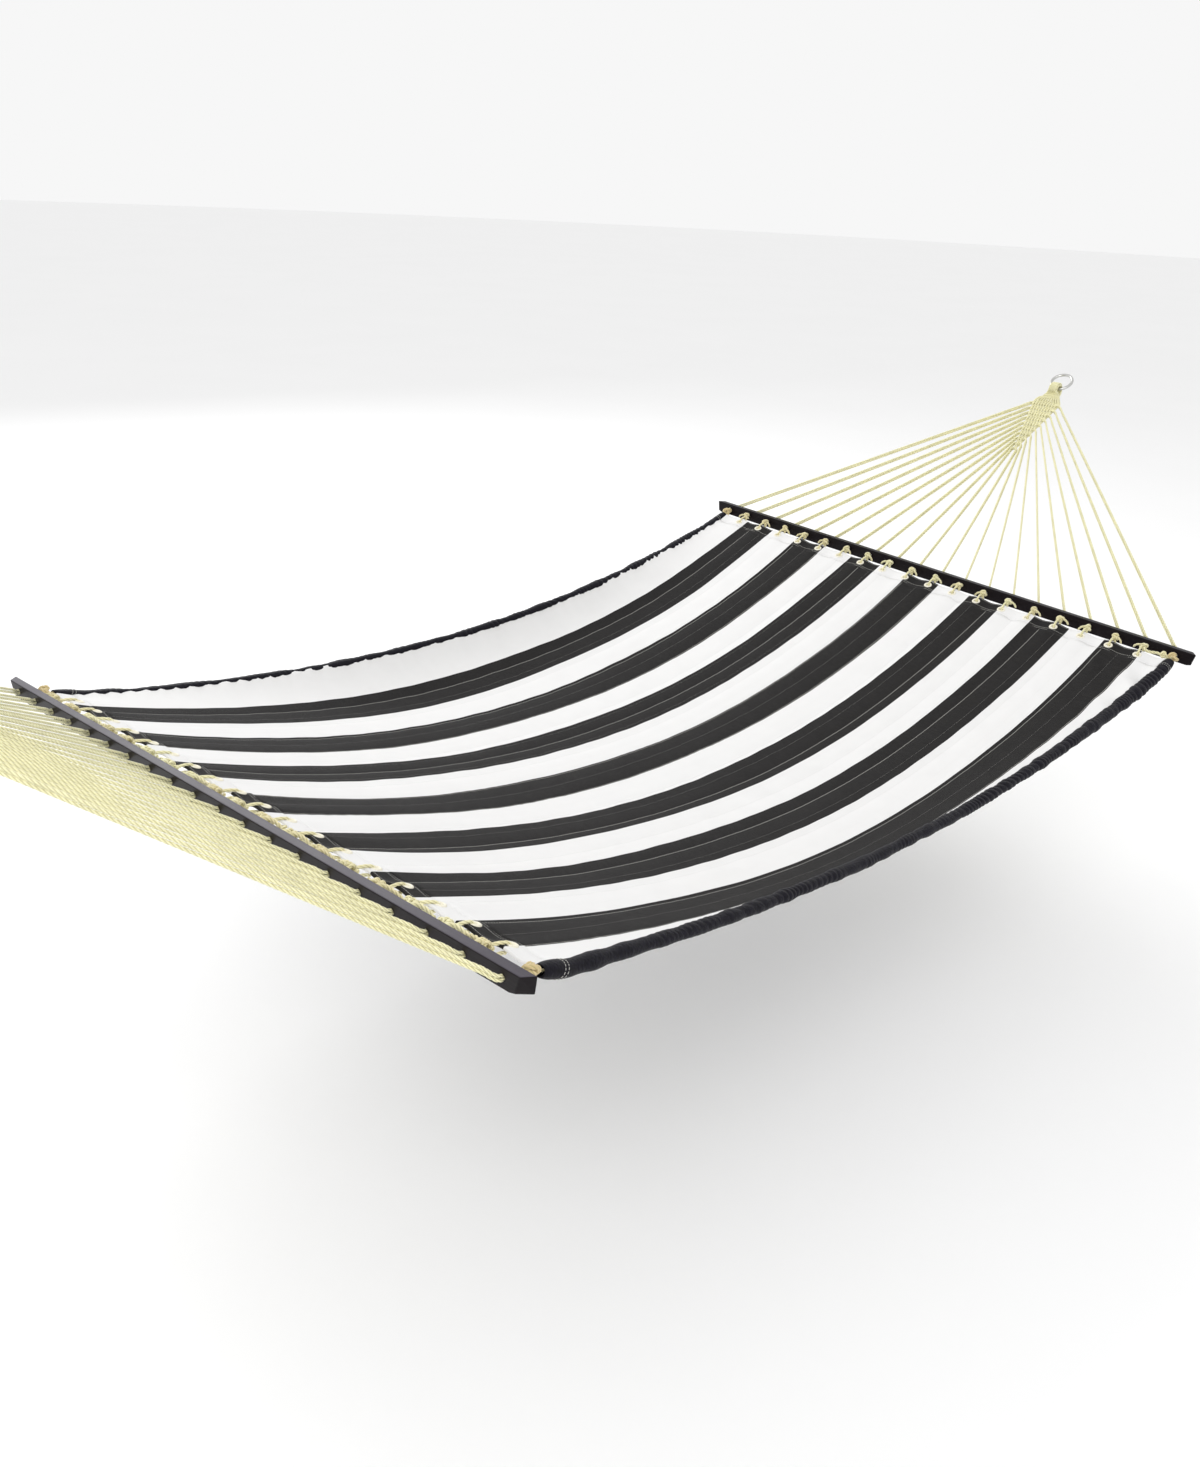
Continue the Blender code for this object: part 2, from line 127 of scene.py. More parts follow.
STITCH_ROWS = (0.030, 0.0365)  # from each mouth of a sleeve
STITCH_COUNT = 18
THREAD_RADIUS = 0.00042
BODY = "hammock"
SIDES = {"near": -1, "far": 1}

# Camera and light
CAMERA_PLACE = (-3.4819, -1.5279, 0.4679)
CAMERA_LENS = 30.52
CAMERA_ANGLES = (47.18, 24.41, 2.85)  # azimuth, downward tilt and roll
SKY_STRENGTH = 0.93
BED_MIDDLE = (-1.65, 0.0, -0.5)


class HammockSizes(PropertyGroup):
    """Sizes of the finish that don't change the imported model."""

    rope: FloatProperty(
        name="Rope", description="Diameter of each rope", default=0.0051, unit="LENGTH"
    )
    rope_lay: FloatProperty(
        name="Rope lay", description="Length of one turn of a strand", default=0.026, unit="LENGTH"
    )
    stripe_pitch: FloatProperty(
        name="Stripe pitch", description="From one dark stripe to the next", default=0.178, unit="LENGTH"
    )
    dark_stripe: FloatProperty(
        name="Dark stripe", description="Width of a dark stripe", default=0.0905, unit="LENGTH"
    )
    cloth: FloatProperty(
        name="Cloth", description="Thickness of one cloth", default=0.0014, unit="LENGTH"
    )
    puff: FloatProperty(
        name="Puff", description="Rise between quilting lines", default=0.0022, unit="LENGTH"
    )
    floor_drop: FloatProperty(
        name="Floor", description="Floor below the head hook", default=1.12, unit="LENGTH"
    )


def colour_property(name, description, default):
    """A colour that the sidebar shows as a swatch."""
    return FloatVectorProperty(
        name=name, description=description, default=default, size=3, min=0, max=1, subtype="COLOR"
    )


class HammockColours(PropertyGroup):
    """Base colours of the finishes."""

    wood: colour_property("Wood", "Stained wood", (0.007, 0.0052, 0.0062))
    # Painted highlight: the paler colour of the bars' upper faces, standing in for the bright
    # surroundings that they reflect.
    wood_top_highlight: colour_property("Wood top", "Sun-faded upper face", (0.078, 0.070, 0.088))
    rope: colour_property("Rope", "Strands of the rope", (0.96, 0.93, 0.60))
    # Painted shade in the grooves between the strands; a lighter tint of it also darkens specks of yarn.
    rope_groove_shade_and_dark_yarn: colour_property("Rope groove", "Between the strands", (0.36, 0.31, 0.12))
    rope_tan: colour_property("Handled rope", "Knots that take most wear", (0.66, 0.50, 0.25))
    white_cloth: colour_property("White cloth", "Light stripes", (0.80, 0.795, 0.79))
    dark_cloth: colour_property("Dark cloth", "Dark stripes", (0.013, 0.012, 0.012))
    sleeve: colour_property("Sleeve", "Gathered edge sleeves", (0.004, 0.0035, 0.007))
    thread: colour_property("Thread", "Stitching", (0.34, 0.335, 0.31))
    grommet: colour_property("Grommet", "Eyelet rings", (0.84, 0.80, 0.66))
    steel: colour_property("Steel", "Zinc-plated rings", (0.62, 0.62, 0.60))
    floor: colour_property("Floor", "Pale floor", (0.93, 0.93, 0.93))


def sizes():
    """The sizes that the sidebar shows."""
    return bpy.context.scene.hammock_sizes


def colours():
    """The colours that the sidebar shows."""
    return bpy.context.scene.hammock_colours


# Frames of the two ends


def turn(axis, angle):
    """The matrix that turns by an angle round one of the three axes."""
    first, second = [(1, 2), (2, 0), (0, 1)][axis]
    matrix = np.eye(3)
    matrix[first, first] = matrix[second, second] = math.cos(angle)
    matrix[second, first] = math.sin(angle)
    matrix[first, second] = -math.sin(angle)
    return matrix


class End:
    """One end of the hammock, with the frames of its bar, its hem and its clew.

    outward is +1 at the head and -1 at the foot. The clew's frame starts where the eye bears on the
    ring, with +X away from the bed. The hem's frame starts on the bar's inner face, with +X into the bed.
    """

    def __init__(self, name, outward, joint):
        rise = CLEW_RISE + outward * BAR_STEP
        self.name = name
        self.outward = outward
        self.lacing_gap = LACING_GAP[name]
        self.bearing = np.array(joint["pos_m"])
        self.bar_centre = self.bearing - np.array([outward * CLEW_REACH, 0.0, rise])
        self.bar_turn = turn(0, outward * BAR_TWIST)
        slope = math.atan2(rise, CLEW_REACH)
        self.clew_turn = turn(2, 0.0 if outward > 0 else math.pi) @ turn(1, -slope)
        turn_in = turn(2, math.pi if outward > 0 else 0.0)
        self.hem_start = self.bar_centre + self.bar_turn @ np.array([-outward * BAR_WIDTH / 2, 0, 0])
        self.hem_turn = self.bar_turn @ turn_in @ turn(1, HEM_ANGLE)

    def in_clew(self, x, y, z):
        """World points for places in the clew's frame."""
        return self.bearing + stack(x, self.outward * np.asarray(y), z) @ self.clew_turn.T

    def in_hem(self, x, y, z):
        """World points for places in the hem's frame."""
        return self.hem_start + stack(x, -self.outward * np.asarray(y), z) @ self.hem_turn.T

    def in_bar(self, outward_x, y, z):
        """World points for places in the bar's frame, which starts at its middle."""
        return self.bar_centre + stack(self.outward * np.asarray(outward_x), y, z) @ self.bar_turn.T


def stack(*coordinates):
    """Coordinates, each a number or an array, as one array of points."""
    return np.stack(np.broadcast_arrays(*(np.asarray(part, float) for part in coordinates)), -1)


JOINTS = {joint["name"]: joint for joint in frame["joints"]}
HEAD = End("head", 1, JOINTS["swing"])
FOOT = End("foot", -1, JOINTS["foot_ring_turn"])


def hole_y(index):
    """Place of a bar's hole across the bed, counted from the near side."""
    return (index - (HOLE_COUNT - 1) / 2) * HOLE_PITCH


# Shape building


def unit(vectors):
    """Each vector divided by its length."""
    return vectors / np.linalg.norm(vectors, axis=-1, keepdims=True)


def full_turn(count):
    """Angles spaced evenly round a circle."""
    return np.linspace(0, 2 * math.pi, count, endpoint=False)


def distance_along(path):
    """Length of the path from its start to each of its points."""
    steps = np.linalg.norm(np.diff(path, axis=0), axis=1)
    return np.concatenate([[0.0], np.cumsum(steps)])


def smooth_path(points, spacing):
    """Points this far apart on a smooth curve through the given ones.

    Between two points the curve is the cubic that starts and ends with the slopes there, and the slope
    at a point is that of the parabola through it and its neighbours, by distance along the chords.
    """
    points = np.asarray(points, float)
    chord = distance_along(points)
    slopes = np.gradient(points, chord, axis=0)
    at = np.linspace(0.0, chord[-1], max(4, int(round(chord[-1] / spacing)) + 1))
    first = np.clip(np.searchsorted(chord, at, side="right") - 1, 0, len(points) - 2)
    step = (chord[first + 1] - chord[first])[:, None]
    t = (at - chord[first])[:, None] / step
    start, finish = points[first], points[first + 1]
    leave, arrive = slopes[first] * step, slopes[first + 1] * step
    from_start = (2 * t**3 - 3 * t**2 + 1) * start + (t**3 - 2 * t**2 + t) * leave
    return from_start + (3 * t**2 - 2 * t**3) * finish + (t**3 - t**2) * arrive


def tube(path, radius, sides, reference=(0, 1, 0), twist=0.0, closed=False):
    """Rings of points round a path.

    A ring's zero angle points along the reference made square to the path. A point is the path's point
    plus its radius times the cosine and sine of its angle along the ring's two directions. The radius
    may differ by ring and by side, and twist is added to each ring's angles.
    """
    if closed:
        tangent = unit(np.roll(path, -1, 0) - np.roll(path, 1, 0))
    else:
        tangent = unit(np.gradient(path, axis=0))
    reference = np.broadcast_to(np.asarray(reference, float), path.shape)
    normal = unit(reference - (reference * tangent).sum(1, keepdims=True) * tangent)
    side = np.cross(tangent, normal)
    angle = full_turn(sides) + np.broadcast_to(twist, len(path))[:, None]
    radius = np.broadcast_to(radius, angle.shape)[..., None]
    around = np.cos(angle)[..., None] * normal[:, None] + np.sin(angle)[..., None] * side[:, None]
    return path[:, None] + radius * around


class Shape:
    """Grids of points that become one mesh, with named values at the points."""

    def __init__(self):
        self.points, self.quads, self.triangles = [], [], []
        self.values = {}
        self.size = 0

    def _keep(self, points, values):
        """Adds the points with their values, and gives the first one's number."""
        self.points.append(points.reshape(-1, 3))
        for name, value in values.items():
            spread = np.broadcast_to(value, points.shape[:-1]).ravel()
            self.values.setdefault(name, []).append(spread)
        first = self.size
        self.size += len(self.points[-1])
        return first

    def grid(self, points, around=False, closed=False, caps=False, flip=False, **values):
        """A grid of rows and columns. around joins the last column to the first, closed the last row."""
        rows, columns = points.shape[:2]
        index = self._keep(points, values) + np.arange(rows * columns).reshape(rows, columns)
        if closed:
            index = np.vstack([index, index[:1]])
        if around:
            index = np.hstack([index, index[:, :1]])
        corners = [index[:-1, :-1], index[:-1, 1:], index[1:, 1:], index[1:, :-1]]
        quads = np.stack(corners[::-1] if flip else corners, -1).reshape(-1, 4)
        self.quads.append(quads)
        if caps:
            spread = {key: np.broadcast_to(value, (rows, columns)) for key, value in values.items()}
            middle = {key: value.mean() for key, value in spread.items()}
            for row, back in ((0, True), (-1, False)):
                centre = self._keep(points[row].mean(0)[None], middle)
                ring = index[row]
                pair = (ring[1:], ring[:-1]) if back else (ring[:-1], ring[1:])
                self.triangles.append(np.stack([np.full(len(ring) - 1, centre), *pair], -1))

    def mesh(self, name, weld=0.0, outwards=False):
        """One smooth mesh of all the grids, with points closer than the weld joined if it is given."""
        points = np.concatenate(self.points)
        quads = np.concatenate(self.quads)
        triangles = np.concatenate([*self.triangles, np.zeros((0, 3), int)])
        loops = np.concatenate([quads.ravel(), triangles.ravel()]).astype(np.int32)
        starts = np.concatenate(
            [np.arange(len(quads)) * 4, len(quads) * 4 + np.arange(len(triangles)) * 3]
        )
        mesh = bpy.data.meshes.new(name)
        mesh.vertices.add(len(points))
        mesh.vertices.foreach_set("co", points.ravel())
        mesh.loops.add(len(loops))
        mesh.loops.foreach_set("vertex_index", loops)
        mesh.polygons.add(len(starts))
        mesh.polygons.foreach_set("loop_start", starts.astype(np.int32))
        mesh.update(calc_edges=True)
        for value, lists in self.values.items():
            attribute = mesh.attributes.new(value, "FLOAT", "POINT")
            attribute.data.foreach_set("value", np.concatenate(lists).astype(np.float32))
        mesh.shade_smooth()
        if weld or outwards:
            shell = bmesh.new()
            shell.from_mesh(mesh)
            if weld:
                bmesh.ops.remove_doubles(shell, verts=shell.verts, dist=weld)
            if outwards:
                bmesh.ops.recalc_face_normals(shell, faces=shell.faces)
            shell.to_mesh(mesh)
            shell.free()
        return mesh


def add_holder(name, data):
    """A scene object that holds a lamp, camera or mesh."""
    holder = bpy.data.objects.new(name, data)
    bpy.context.scene.collection.objects.link(holder)
    return holder


def add_piece(name, mesh, material, replaced=(), body=BODY):
    """An object for a finished mesh, riding on its body and standing for the CAD nodes it replaces."""
    piece = add_holder(name, mesh)
    mesh.materials.append(material)
    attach(piece, body)
    if replaced:
        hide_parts(*replaced)
    return piece


def ripple(x, y, seed, length):
    """Smooth noise of about -1 to 1.

    It is the sum of a few sine waves in random directions and phases, by the square root of their count.
    """
    count = 5
    random = np.random.default_rng(seed)
    total = 0.0
    for _ in range(count):
        heading, phase = random.uniform(0, 2 * math.pi, 2)
        wave = length * random.uniform(0.7, 1.5)
        travelled = x * math.cos(heading) + y * math.sin(heading)
        total = total + np.sin(2 * math.pi * travelled / wave + phase)
    return total / math.sqrt(count)


# Ropes and knots


def add_rope(shape, path, diameter, reference=(0, 1, 0), tone=0.0, closed=False):
    """A three-strand laid rope along a path.

    Each ring has three shoulders and three grooves, and turns with the lay, so the points of one column
    follow a strand. The loose ends are domed by two smaller rings.
    """
    along = distance_along(path)
    if closed:
        whole = along[-1] + np.linalg.norm(path[0] - path[-1])
        turns = max(1, round(whole / sizes().rope_lay * 3)) / 3
        twist = 2 * math.pi * turns * along / whole
    else:
        twist = 2 * math.pi * along / sizes().rope_lay
    radius = np.full(len(path), diameter / 2)
    if not closed:
        end_distance = np.minimum(along, along[-1] - along)
        radius = radius * np.sqrt(np.clip(end_distance / (diameter * 0.35) + 0.45, 0, 1))
    rings = tube(path, radius[:, None] * STRAND_SHAPE, ROPE_SIDES, reference, twist, closed)
    shape.grid(rings, around=True, closed=closed, caps=not closed, groove=STRAND_GROOVE_SHADE, tone=tone)


def knot_path(centre, radius, axis_turn, stretch=1.0):
    """A trefoil knot's line, with its axis turned by a matrix.

    By angle t it is (sin t + 2 sin 2t, cos t - 2 cos 2t, -1.5 sin 3t), the last one stretched, and all
    of it a third of the radius times as large.
    """
    t = full_turn(64)
    height = -1.5 * stretch * np.sin(3 * t)
    local = stack(np.sin(t) + 2 * np.sin(2 * t), np.cos(t) - 2 * np.cos(2 * t), height) * radius / 3
    return centre + local @ axis_turn.T


def add_knot(shape, centre, radius, random, thickness, tone=0.0, stretch=1.0):
    """A tight lump of rope, a trefoil with a random tilt, its axis roughly along X."""
    tilt = turn(0, random.uniform(0, 2 * math.pi)) @ turn(1, math.pi / 2 + random.uniform(-0.4, 0.4))
    path = knot_path(centre, radius - thickness * 0.42, tilt, stretch)
    add_rope(shape, path, thickness, reference=path - centre, tone=tone, closed=True)


def add_wrapping(shape, start, finish, radius, turns, tone=0.0):
    """Turns of rope wound round the line from start to finish: a helix of the given radius."""
    axis = unit(finish - start)
    normal = unit(np.cross(axis, [0.0, 0.35, 0.94]))
    side = np.cross(axis, normal)
    points_per_turn = 20
    share = np.linspace(0, 1, int(turns * points_per_turn))[:, None]
    angle = 2 * math.pi * turns * share
    path = start + share * (finish - start) + radius * (np.cos(angle) * normal + np.sin(angle) * side)
    add_rope(shape, path, sizes().rope * 1.2, reference=axis, tone=tone)


def exit_row(index):
    """How many rows down the weave this rope leaves it, counted from the outermost ropes."""
    return min(index, HOLE_COUNT - 1 - index)


def exit_depth(index):
    """How far down the weave this rope leaves it."""
    return WEAVE_SHOULDER + (exit_row(index) + 0.5) * ROW_LENGTH


def exit_half_width(index):
    """Half the weave's width where this rope leaves it."""
    return (HOLE_COUNT / 2 - 0.5 - exit_row(index)) * COLUMN_PITCH + 0.002


def fan_leg(end, index, upper):
    """One leg from inside the weave to the inner face of the bar, as points, straight on its way."""
    y = hole_y(index)
    start_x = WEAVE_TOP_X - exit_depth(index)
    start_y = math.copysign(exit_half_width(index), y)
    inner = end.in_clew(start_x + 0.006, start_y * 0.80, upper * 0.0012)
    start = end.in_clew(start_x, start_y + math.copysign(0.003, y), upper * 0.003)
    mouth = end.in_bar(BAR_WIDTH / 2 + 0.001, y, upper * LEG_OFFSET)
    straight = [start + (mouth - start) * share for share in (0.03, 0.25, 0.5, 0.75, 0.97)]
    middle = end.in_bar(0.0, y, upper * LEG_OFFSET)
    inside = end.in_bar(-BAR_WIDTH / 2 - KNOT_GAP - 0.004, y, upper * LEG_OFFSET * 0.8)
    return [inner, start, *straight, mouth, middle, inside]


def lacing_leg(end, index, upper, random):
    """One leg from the knot at the bar to the eyelet, over the hem or under it."""
    y = hole_y(index)
    gap = end.lacing_gap
    over_hem = 0.0052 + 0.0010 * (upper > 0)
    slack = 0.30 * (gap - 0.020)
    bow = random.uniform(-1, 1) * slack
    knot = end.in_bar(-BAR_WIDTH / 2 - KNOT_GAP - KNOT_RADIUS, y, upper * 0.002)
    out = end.in_hem(gap * 0.62, y + bow + upper * 0.0025, upper * 0.0045 - slack * 0.25)
    edge = end.in_hem(gap + 0.001, y + bow * 0.35 + upper * 0.0015, upper * over_hem)
    near = end.in_hem(gap + EYELET_INSET - 0.0065, y, upper * over_hem)
    return [knot, out, edge, near]


def make_laid_rope(end, index, material):
    """A doubled clew rope: two legs through the bar, a stopper knot, and the lacing through the hem."""
    random = np.random.default_rng(100 * (end.outward + 2) + index)
    shape = Shape()
    rope = sizes().rope
    y = hole_y(index)
    outermost = exit_row(index) == 0
    for upper in (1, -1):
        add_rope(shape, smooth_path(fan_leg(end, index, upper), spacing=0.0026), rope)
    if outermost:
        centre = end.in_hem(KNOT_GAP + END_KNOT_RADIUS + KNOT_SLIDE[end.name], y, 0.0)
        add_knot(shape, centre, END_KNOT_RADIUS + 0.0020, random, rope * 1.5, tone=0.9, stretch=1.3)
        add_knot(shape, centre, END_KNOT_RADIUS * 0.8, random, rope * 1.2, tone=0.8)
    else:
        centre = end.in_bar(-BAR_WIDTH / 2 - KNOT_GAP - KNOT_RADIUS, y, 0.0)
        tone = random.uniform(0.0, 0.45)
        add_knot(shape, centre, KNOT_RADIUS + 0.0012, random, rope * 1.4, tone=tone, stretch=1.2)
        over = lacing_leg(end, index, 1, random)
        under = lacing_leg(end, index, -1, random)
        turning = end.in_hem(end.lacing_gap + EYELET_INSET - 0.001, y, 0.0)
        lacing = smooth_path([*over, turning, *under[::-1]], spacing=0.0020)
        add_rope(shape, lacing, rope * 1.1, tone=tone * 0.6)
        add_tail(shape, end, index, centre, random, tone)
    if end.name == "foot" and not outermost:
        start = end.in_hem(end.lacing_gap * 0.42, y + random.uniform(-0.018, -0.006), 0.003)
        finish = end.in_hem(end.lacing_gap * 0.50, y + random.uniform(0.012, 0.026), 0.002)
        add_wrapping(shape, start, finish, 0.0058, random.uniform(2.6, 3.8), tone)
    if end.name == "head" and index == 1:
        add_loose_run(shape, end, random)
    label = f"{end.name}_{index + 1:02d}"
    name = f"laid_rope_{label}"
    add_piece(name, shape.mesh(name), material, [f"clew_rope_{label}"])


def add_loose_run(shape, end, random):
    """The spare rope between the two knots at the near end of the head bar, in a low loose wave."""
    share = np.linspace(0, 1, 9)
    y = hole_y(1) + share * (hole_y(0) - hole_y(1))
    depth = 0.013 + 0.004 * np.sin(3 * math.pi * share)
    height = 0.004 - 0.006 * np.sin(math.pi * share)
    run = smooth_path(end.in_hem(depth, y, height), spacing=0.0022)
    add_rope(shape, run, sizes().rope * 1.4, reference=(0, 0, 1), tone=0.1)
    centre = end.in_hem(0.014, hole_y(0) + 0.020, 0.003)
    add_knot(shape, centre, 0.0085, random, sizes().rope * 1.3, tone=0.2)


def add_tail(shape, end, index, knot, random, tone):
    """The knot's loose end, lying along the bar towards a neighbouring hole and drooping at its tip."""
    long_tail = 0.038 if end.name == "foot" else 0.012
    reach = long_tail * random.uniform(0.6, 1.25)
    heading = random.choice([-1.0, 1.0])
    y = hole_y(index)
    depth = end.lacing_gap * random.uniform(0.30, 0.55)
    points = [
        knot + np.array([0.0, heading * 0.004, 0.003]),
        end.in_hem(depth * 0.7 + 0.004, y + heading * 0.010, 0.007),
        end.in_hem(depth * 0.9 + 0.004, y + heading * (0.010 + reach * 0.5), 0.005),
        end.in_hem(depth + 0.006, y + heading * (0.010 + reach), -0.002),
    ]
    thick = sizes().rope * (1.35 if end.name == "foot" else 1.0)
    add_rope(shape, smooth_path(points, spacing=0.0022), thick, reference=(0, 0, 1), tone=tone)


def column_path(end, column):
    """A strand of the weave from its side exit up to the weave's top, in the clew's frame.

    Down the weave it lies in front and behind in turn, as a cosine with half a wave to each row and
    neighbouring columns opposite. At its last row it turns and crosses to the other side.
    """
    side = 1.0 if column < HOLE_COUNT / 2 else -1.0  # the side that it crosses to
    last = exit_depth(column)
    depth = np.linspace(last - 0.30 * ROW_LENGTH, 0.0, 8 + 4 * exit_row(column))
    lane = (column - (HOLE_COUNT - 1) / 2) * COLUMN_PITCH
    narrowing = np.clip(depth / WEAVE_SHOULDER, 0, 1)
    top_share = WEAVE_TOP_HALF / (COLUMN_PITCH * HOLE_COUNT / 2)
    lane = lane * (top_share + (1 - top_share) * narrowing)
    phase = math.pi * ((depth - WEAVE_SHOULDER - 0.5 * ROW_LENGTH) / ROW_LENGTH + column)
    height = STRAND_WAVE * np.cos(phase)
    down = stack(WEAVE_TOP_X - depth, lane, height)
    reach = side * exit_half_width(column) * np.array([1.05, 0.5, 0.0, -0.4])
    across = stack(WEAVE_TOP_X - last + 0.001, reach, 0.0012 * (-1) ** column)
    keep = np.abs(across[:, 1] - lane[0]) > 0.004
    return np.concatenate([across[keep], down])


def make_woven_clew(end, material):
    """The clew's woven triangle: ten ropes looped over the ring, each with two strands in the weave."""
    shape = Shape()
    for loop in range(HOLE_COUNT // 2):
        first, second = column_path(end, 2 * loop), column_path(end, 2 * loop + 1)
        level = first[-1, 2]
        layer = 1 if loop % 2 else -1
        seat = (loop - (HOLE_COUNT / 2 - 1) / 2) * LOOP_PITCH
        angle = np.radians([50, 80, 110, 140, 180, 220, 250, 280, 310]) * math.copysign(1, level)
        radius = EYE_RADIUS + layer * LOOP_LAYER
        eye = stack(EYE_CENTRE_X - radius * np.cos(angle), seat, radius * np.sin(angle))
        points = np.concatenate([first, eye, second[::-1]])
        path = smooth_path(end.in_clew(*points.T), spacing=0.0024)
        skew = end.clew_turn @ np.array([0.1, 0.6, 0.8])  # square to none of the ways that a strand runs
        add_rope(shape, path, sizes().rope * 1.05, reference=skew)
    name = f"woven_clew_{end.name}"
    add_piece(name, shape.mesh(name), material, [f"clew_weave_{end.name}"])


def make_edge_rope(side, label, material):
    """The rope inside an edge sleeve, knot to knot, as one laid rope."""
    y = side * OUTER_HOLE_Y
    first = FOOT.in_hem(-0.002, y, 0)
    last = HEAD.in_hem(-0.002, y, 0)
    path = smooth_path([first, *sleeve_route(side), last], spacing=0.0045)
    shape = Shape()
    add_rope(shape, path, sizes().rope, tone=0.5)
    name = f"laid_edge_rope_{label}"
    add_piece(name, shape.mesh(name), material, [f"edge_rope_{label}"])


# Bed


def bed_surface(along, y):
    """The bed's middle surface. along is from -1 at the foot hem to 1 at the head hem.

    A straight line between the hems, lowered by a parabola that is shallower towards the long edges by
    the tenth power of the distance from the middle, and drawn in a little at mid-length.
    """
    share = (along + 1) / 2
    across = y / HEM_HALF_WIDTH
    from_foot = FOOT.in_hem(FOOT.lacing_gap + HEM_LENGTH - 0.003, y, 0)
    from_head = HEAD.in_hem(HEAD.lacing_gap + HEM_LENGTH - 0.003, y, 0)
    fall = 1 - along * along
    sag = BED_SAG - EDGE_LIFT * np.abs(across) ** EDGE_CURL
    point = from_foot + share[..., None] * (from_head - from_foot)
    point[..., 1] -= EDGE_BOW * across * fall
    point[..., 2] -= sag * fall
    return point


BED_ENDS = bed_surface(np.array([-1.0, 1.0]), np.zeros(2))
BED_LENGTH = float(np.linalg.norm(BED_ENDS[1] - BED_ENDS[0]))


def relief(x, y):
    """Height of the bed's folds, x metres from the foot hem and y from the middle.

    It adds the lift at each laced eyelet, which fades from the hems, long soft waves, gathers along both
    edge sleeves, slack diagonal folds at the near corner of the head end and one crease beside them.
    """
    lift, wave, fine_wave, gather, fold, crease = 0.0022, 0.0016, 0.0005, 0.0020, 0.0100, 0.0045
    from_foot, from_head = np.maximum(x, 0), np.maximum(BED_LENGTH - x, 0)
    from_hem = np.minimum(from_foot, from_head)
    edge = HEM_HALF_WIDTH - np.abs(y)
    pull = np.exp(-from_foot / 0.080) + np.exp(-from_head / 0.060)
    height = lift * pull * np.cos(2 * math.pi * (y / HOLE_PITCH + 0.5))

    open_middle = np.clip(from_hem / 0.25, 0, 1)
    height += wave * open_middle * ripple(x * 0.25, y, seed=3, length=0.17)
    height += fine_wave * open_middle * ripple(x, y, seed=5, length=0.10)

    gathers = np.sin(2 * math.pi * x / 0.034 + 1.8 * ripple(x, 0 * y, seed=7, length=0.25))
    height += gather * np.exp(-edge / 0.020) * gathers * np.clip(from_hem / 0.02, 0, 1)

    slack = np.exp(-((from_head / 0.42) ** 2)) * np.exp(-edge / 0.040) * (y < 0)
    slack = slack * np.clip(from_head / 0.03, 0, 1)
    height += fold * slack * np.sin(2 * math.pi * (from_head + 1.1 * edge) / 0.125 + 0.9)

    start, heading = np.array([0.020, -0.505]), unit(np.array([0.110, -0.050]))
    run = (from_head - start[0]) * heading[0] + (y - start[1]) * heading[1]
    off = (y - start[1]) * heading[0] - (from_head - start[0]) * heading[1]
    window = np.exp(-(((run - 0.055) / 0.045) ** 2))
    ridge = np.exp(-((off / 0.012) ** 2)) - 0.9 * np.exp(-(((off + 0.012) / 0.008) ** 2))
    return height + crease * window * ridge


def positions_across():
    """Places across the bed, close together at the quilting lines and towards both edges."""
    lines = QUILTING_LINES
    near = np.array([-0.010, -0.006, -0.0032, -0.0014, 0.0, 0.0014, 0.0032, 0.006, 0.010])
    ends = HEM_HALF_WIDTH - np.array([0.0, 0.004, 0.009, 0.015, 0.022, 0.030, 0.040, 0.052])
    between = lines[:-1, None] + np.diff(lines)[:, None] * np.array([0.28, 0.42, 0.58, 0.72])
    beyond_last = [0.565, 0.580]
    every = np.concatenate([(lines[:, None] + near).ravel(), between.ravel(), ends, -ends, beyond_last])
    every = np.sort(every[np.abs(every) <= HEM_HALF_WIDTH])
    closest = 0.0009
    return every[np.concatenate([[True], np.diff(every) > closest])]


def quilting(x, y):
    """Distance to the nearest quilting line, and how much the cloth stands off between the lines.

    The cloth rises from a line as one less a bell curve, with a fading sine wave of puckers beside it.
    """
    offset = y[..., None] - QUILTING_LINES
    nearest = np.take_along_axis(offset, np.abs(offset).argmin(-1)[..., None], -1)[..., 0]
    puff = 1 - np.exp(-((nearest / 0.011) ** 2))
    pucker = np.exp(-np.abs(nearest) / 0.008) * np.sin(2 * math.pi * x / 0.016 + 40 * y)
    return nearest, puff + 0.16 * pucker * (0.5 + 0.5 * ripple(x, y, seed=11, length=0.3))


def make_bed_cloth(upper, material):
    """One of the bed's two cloths, a thin sheet that stands off the middle surface between the seams."""
    label = "upper" if upper > 0 else "lower"
    y, along = np.meshgrid(positions_across(), np.linspace(-1, 1, CLOTH_ROWS))
    x = (along + 1) / 2 * BED_LENGTH
    nearest, stand_off = quilting(x, y)
    points = bed_surface(along, y)
    points[..., 2] += relief(x, y) + upper * (CLOTH_GAP + sizes().puff * stand_off)
    shape = Shape()
    shape.grid(points, flip=True, across=y, inset=x, seam=nearest)
    name = f"quilted_cloth_{label}"
    piece = add_piece(name, shape.mesh(name), material, [f"bed_cloth_{label}"])
    cloth = piece.modifiers.new("cloth_thickness", "SOLIDIFY")
    cloth.thickness = sizes().cloth
    cloth.offset = -1 if upper > 0 else 1
    return piece


# Hems and grommets


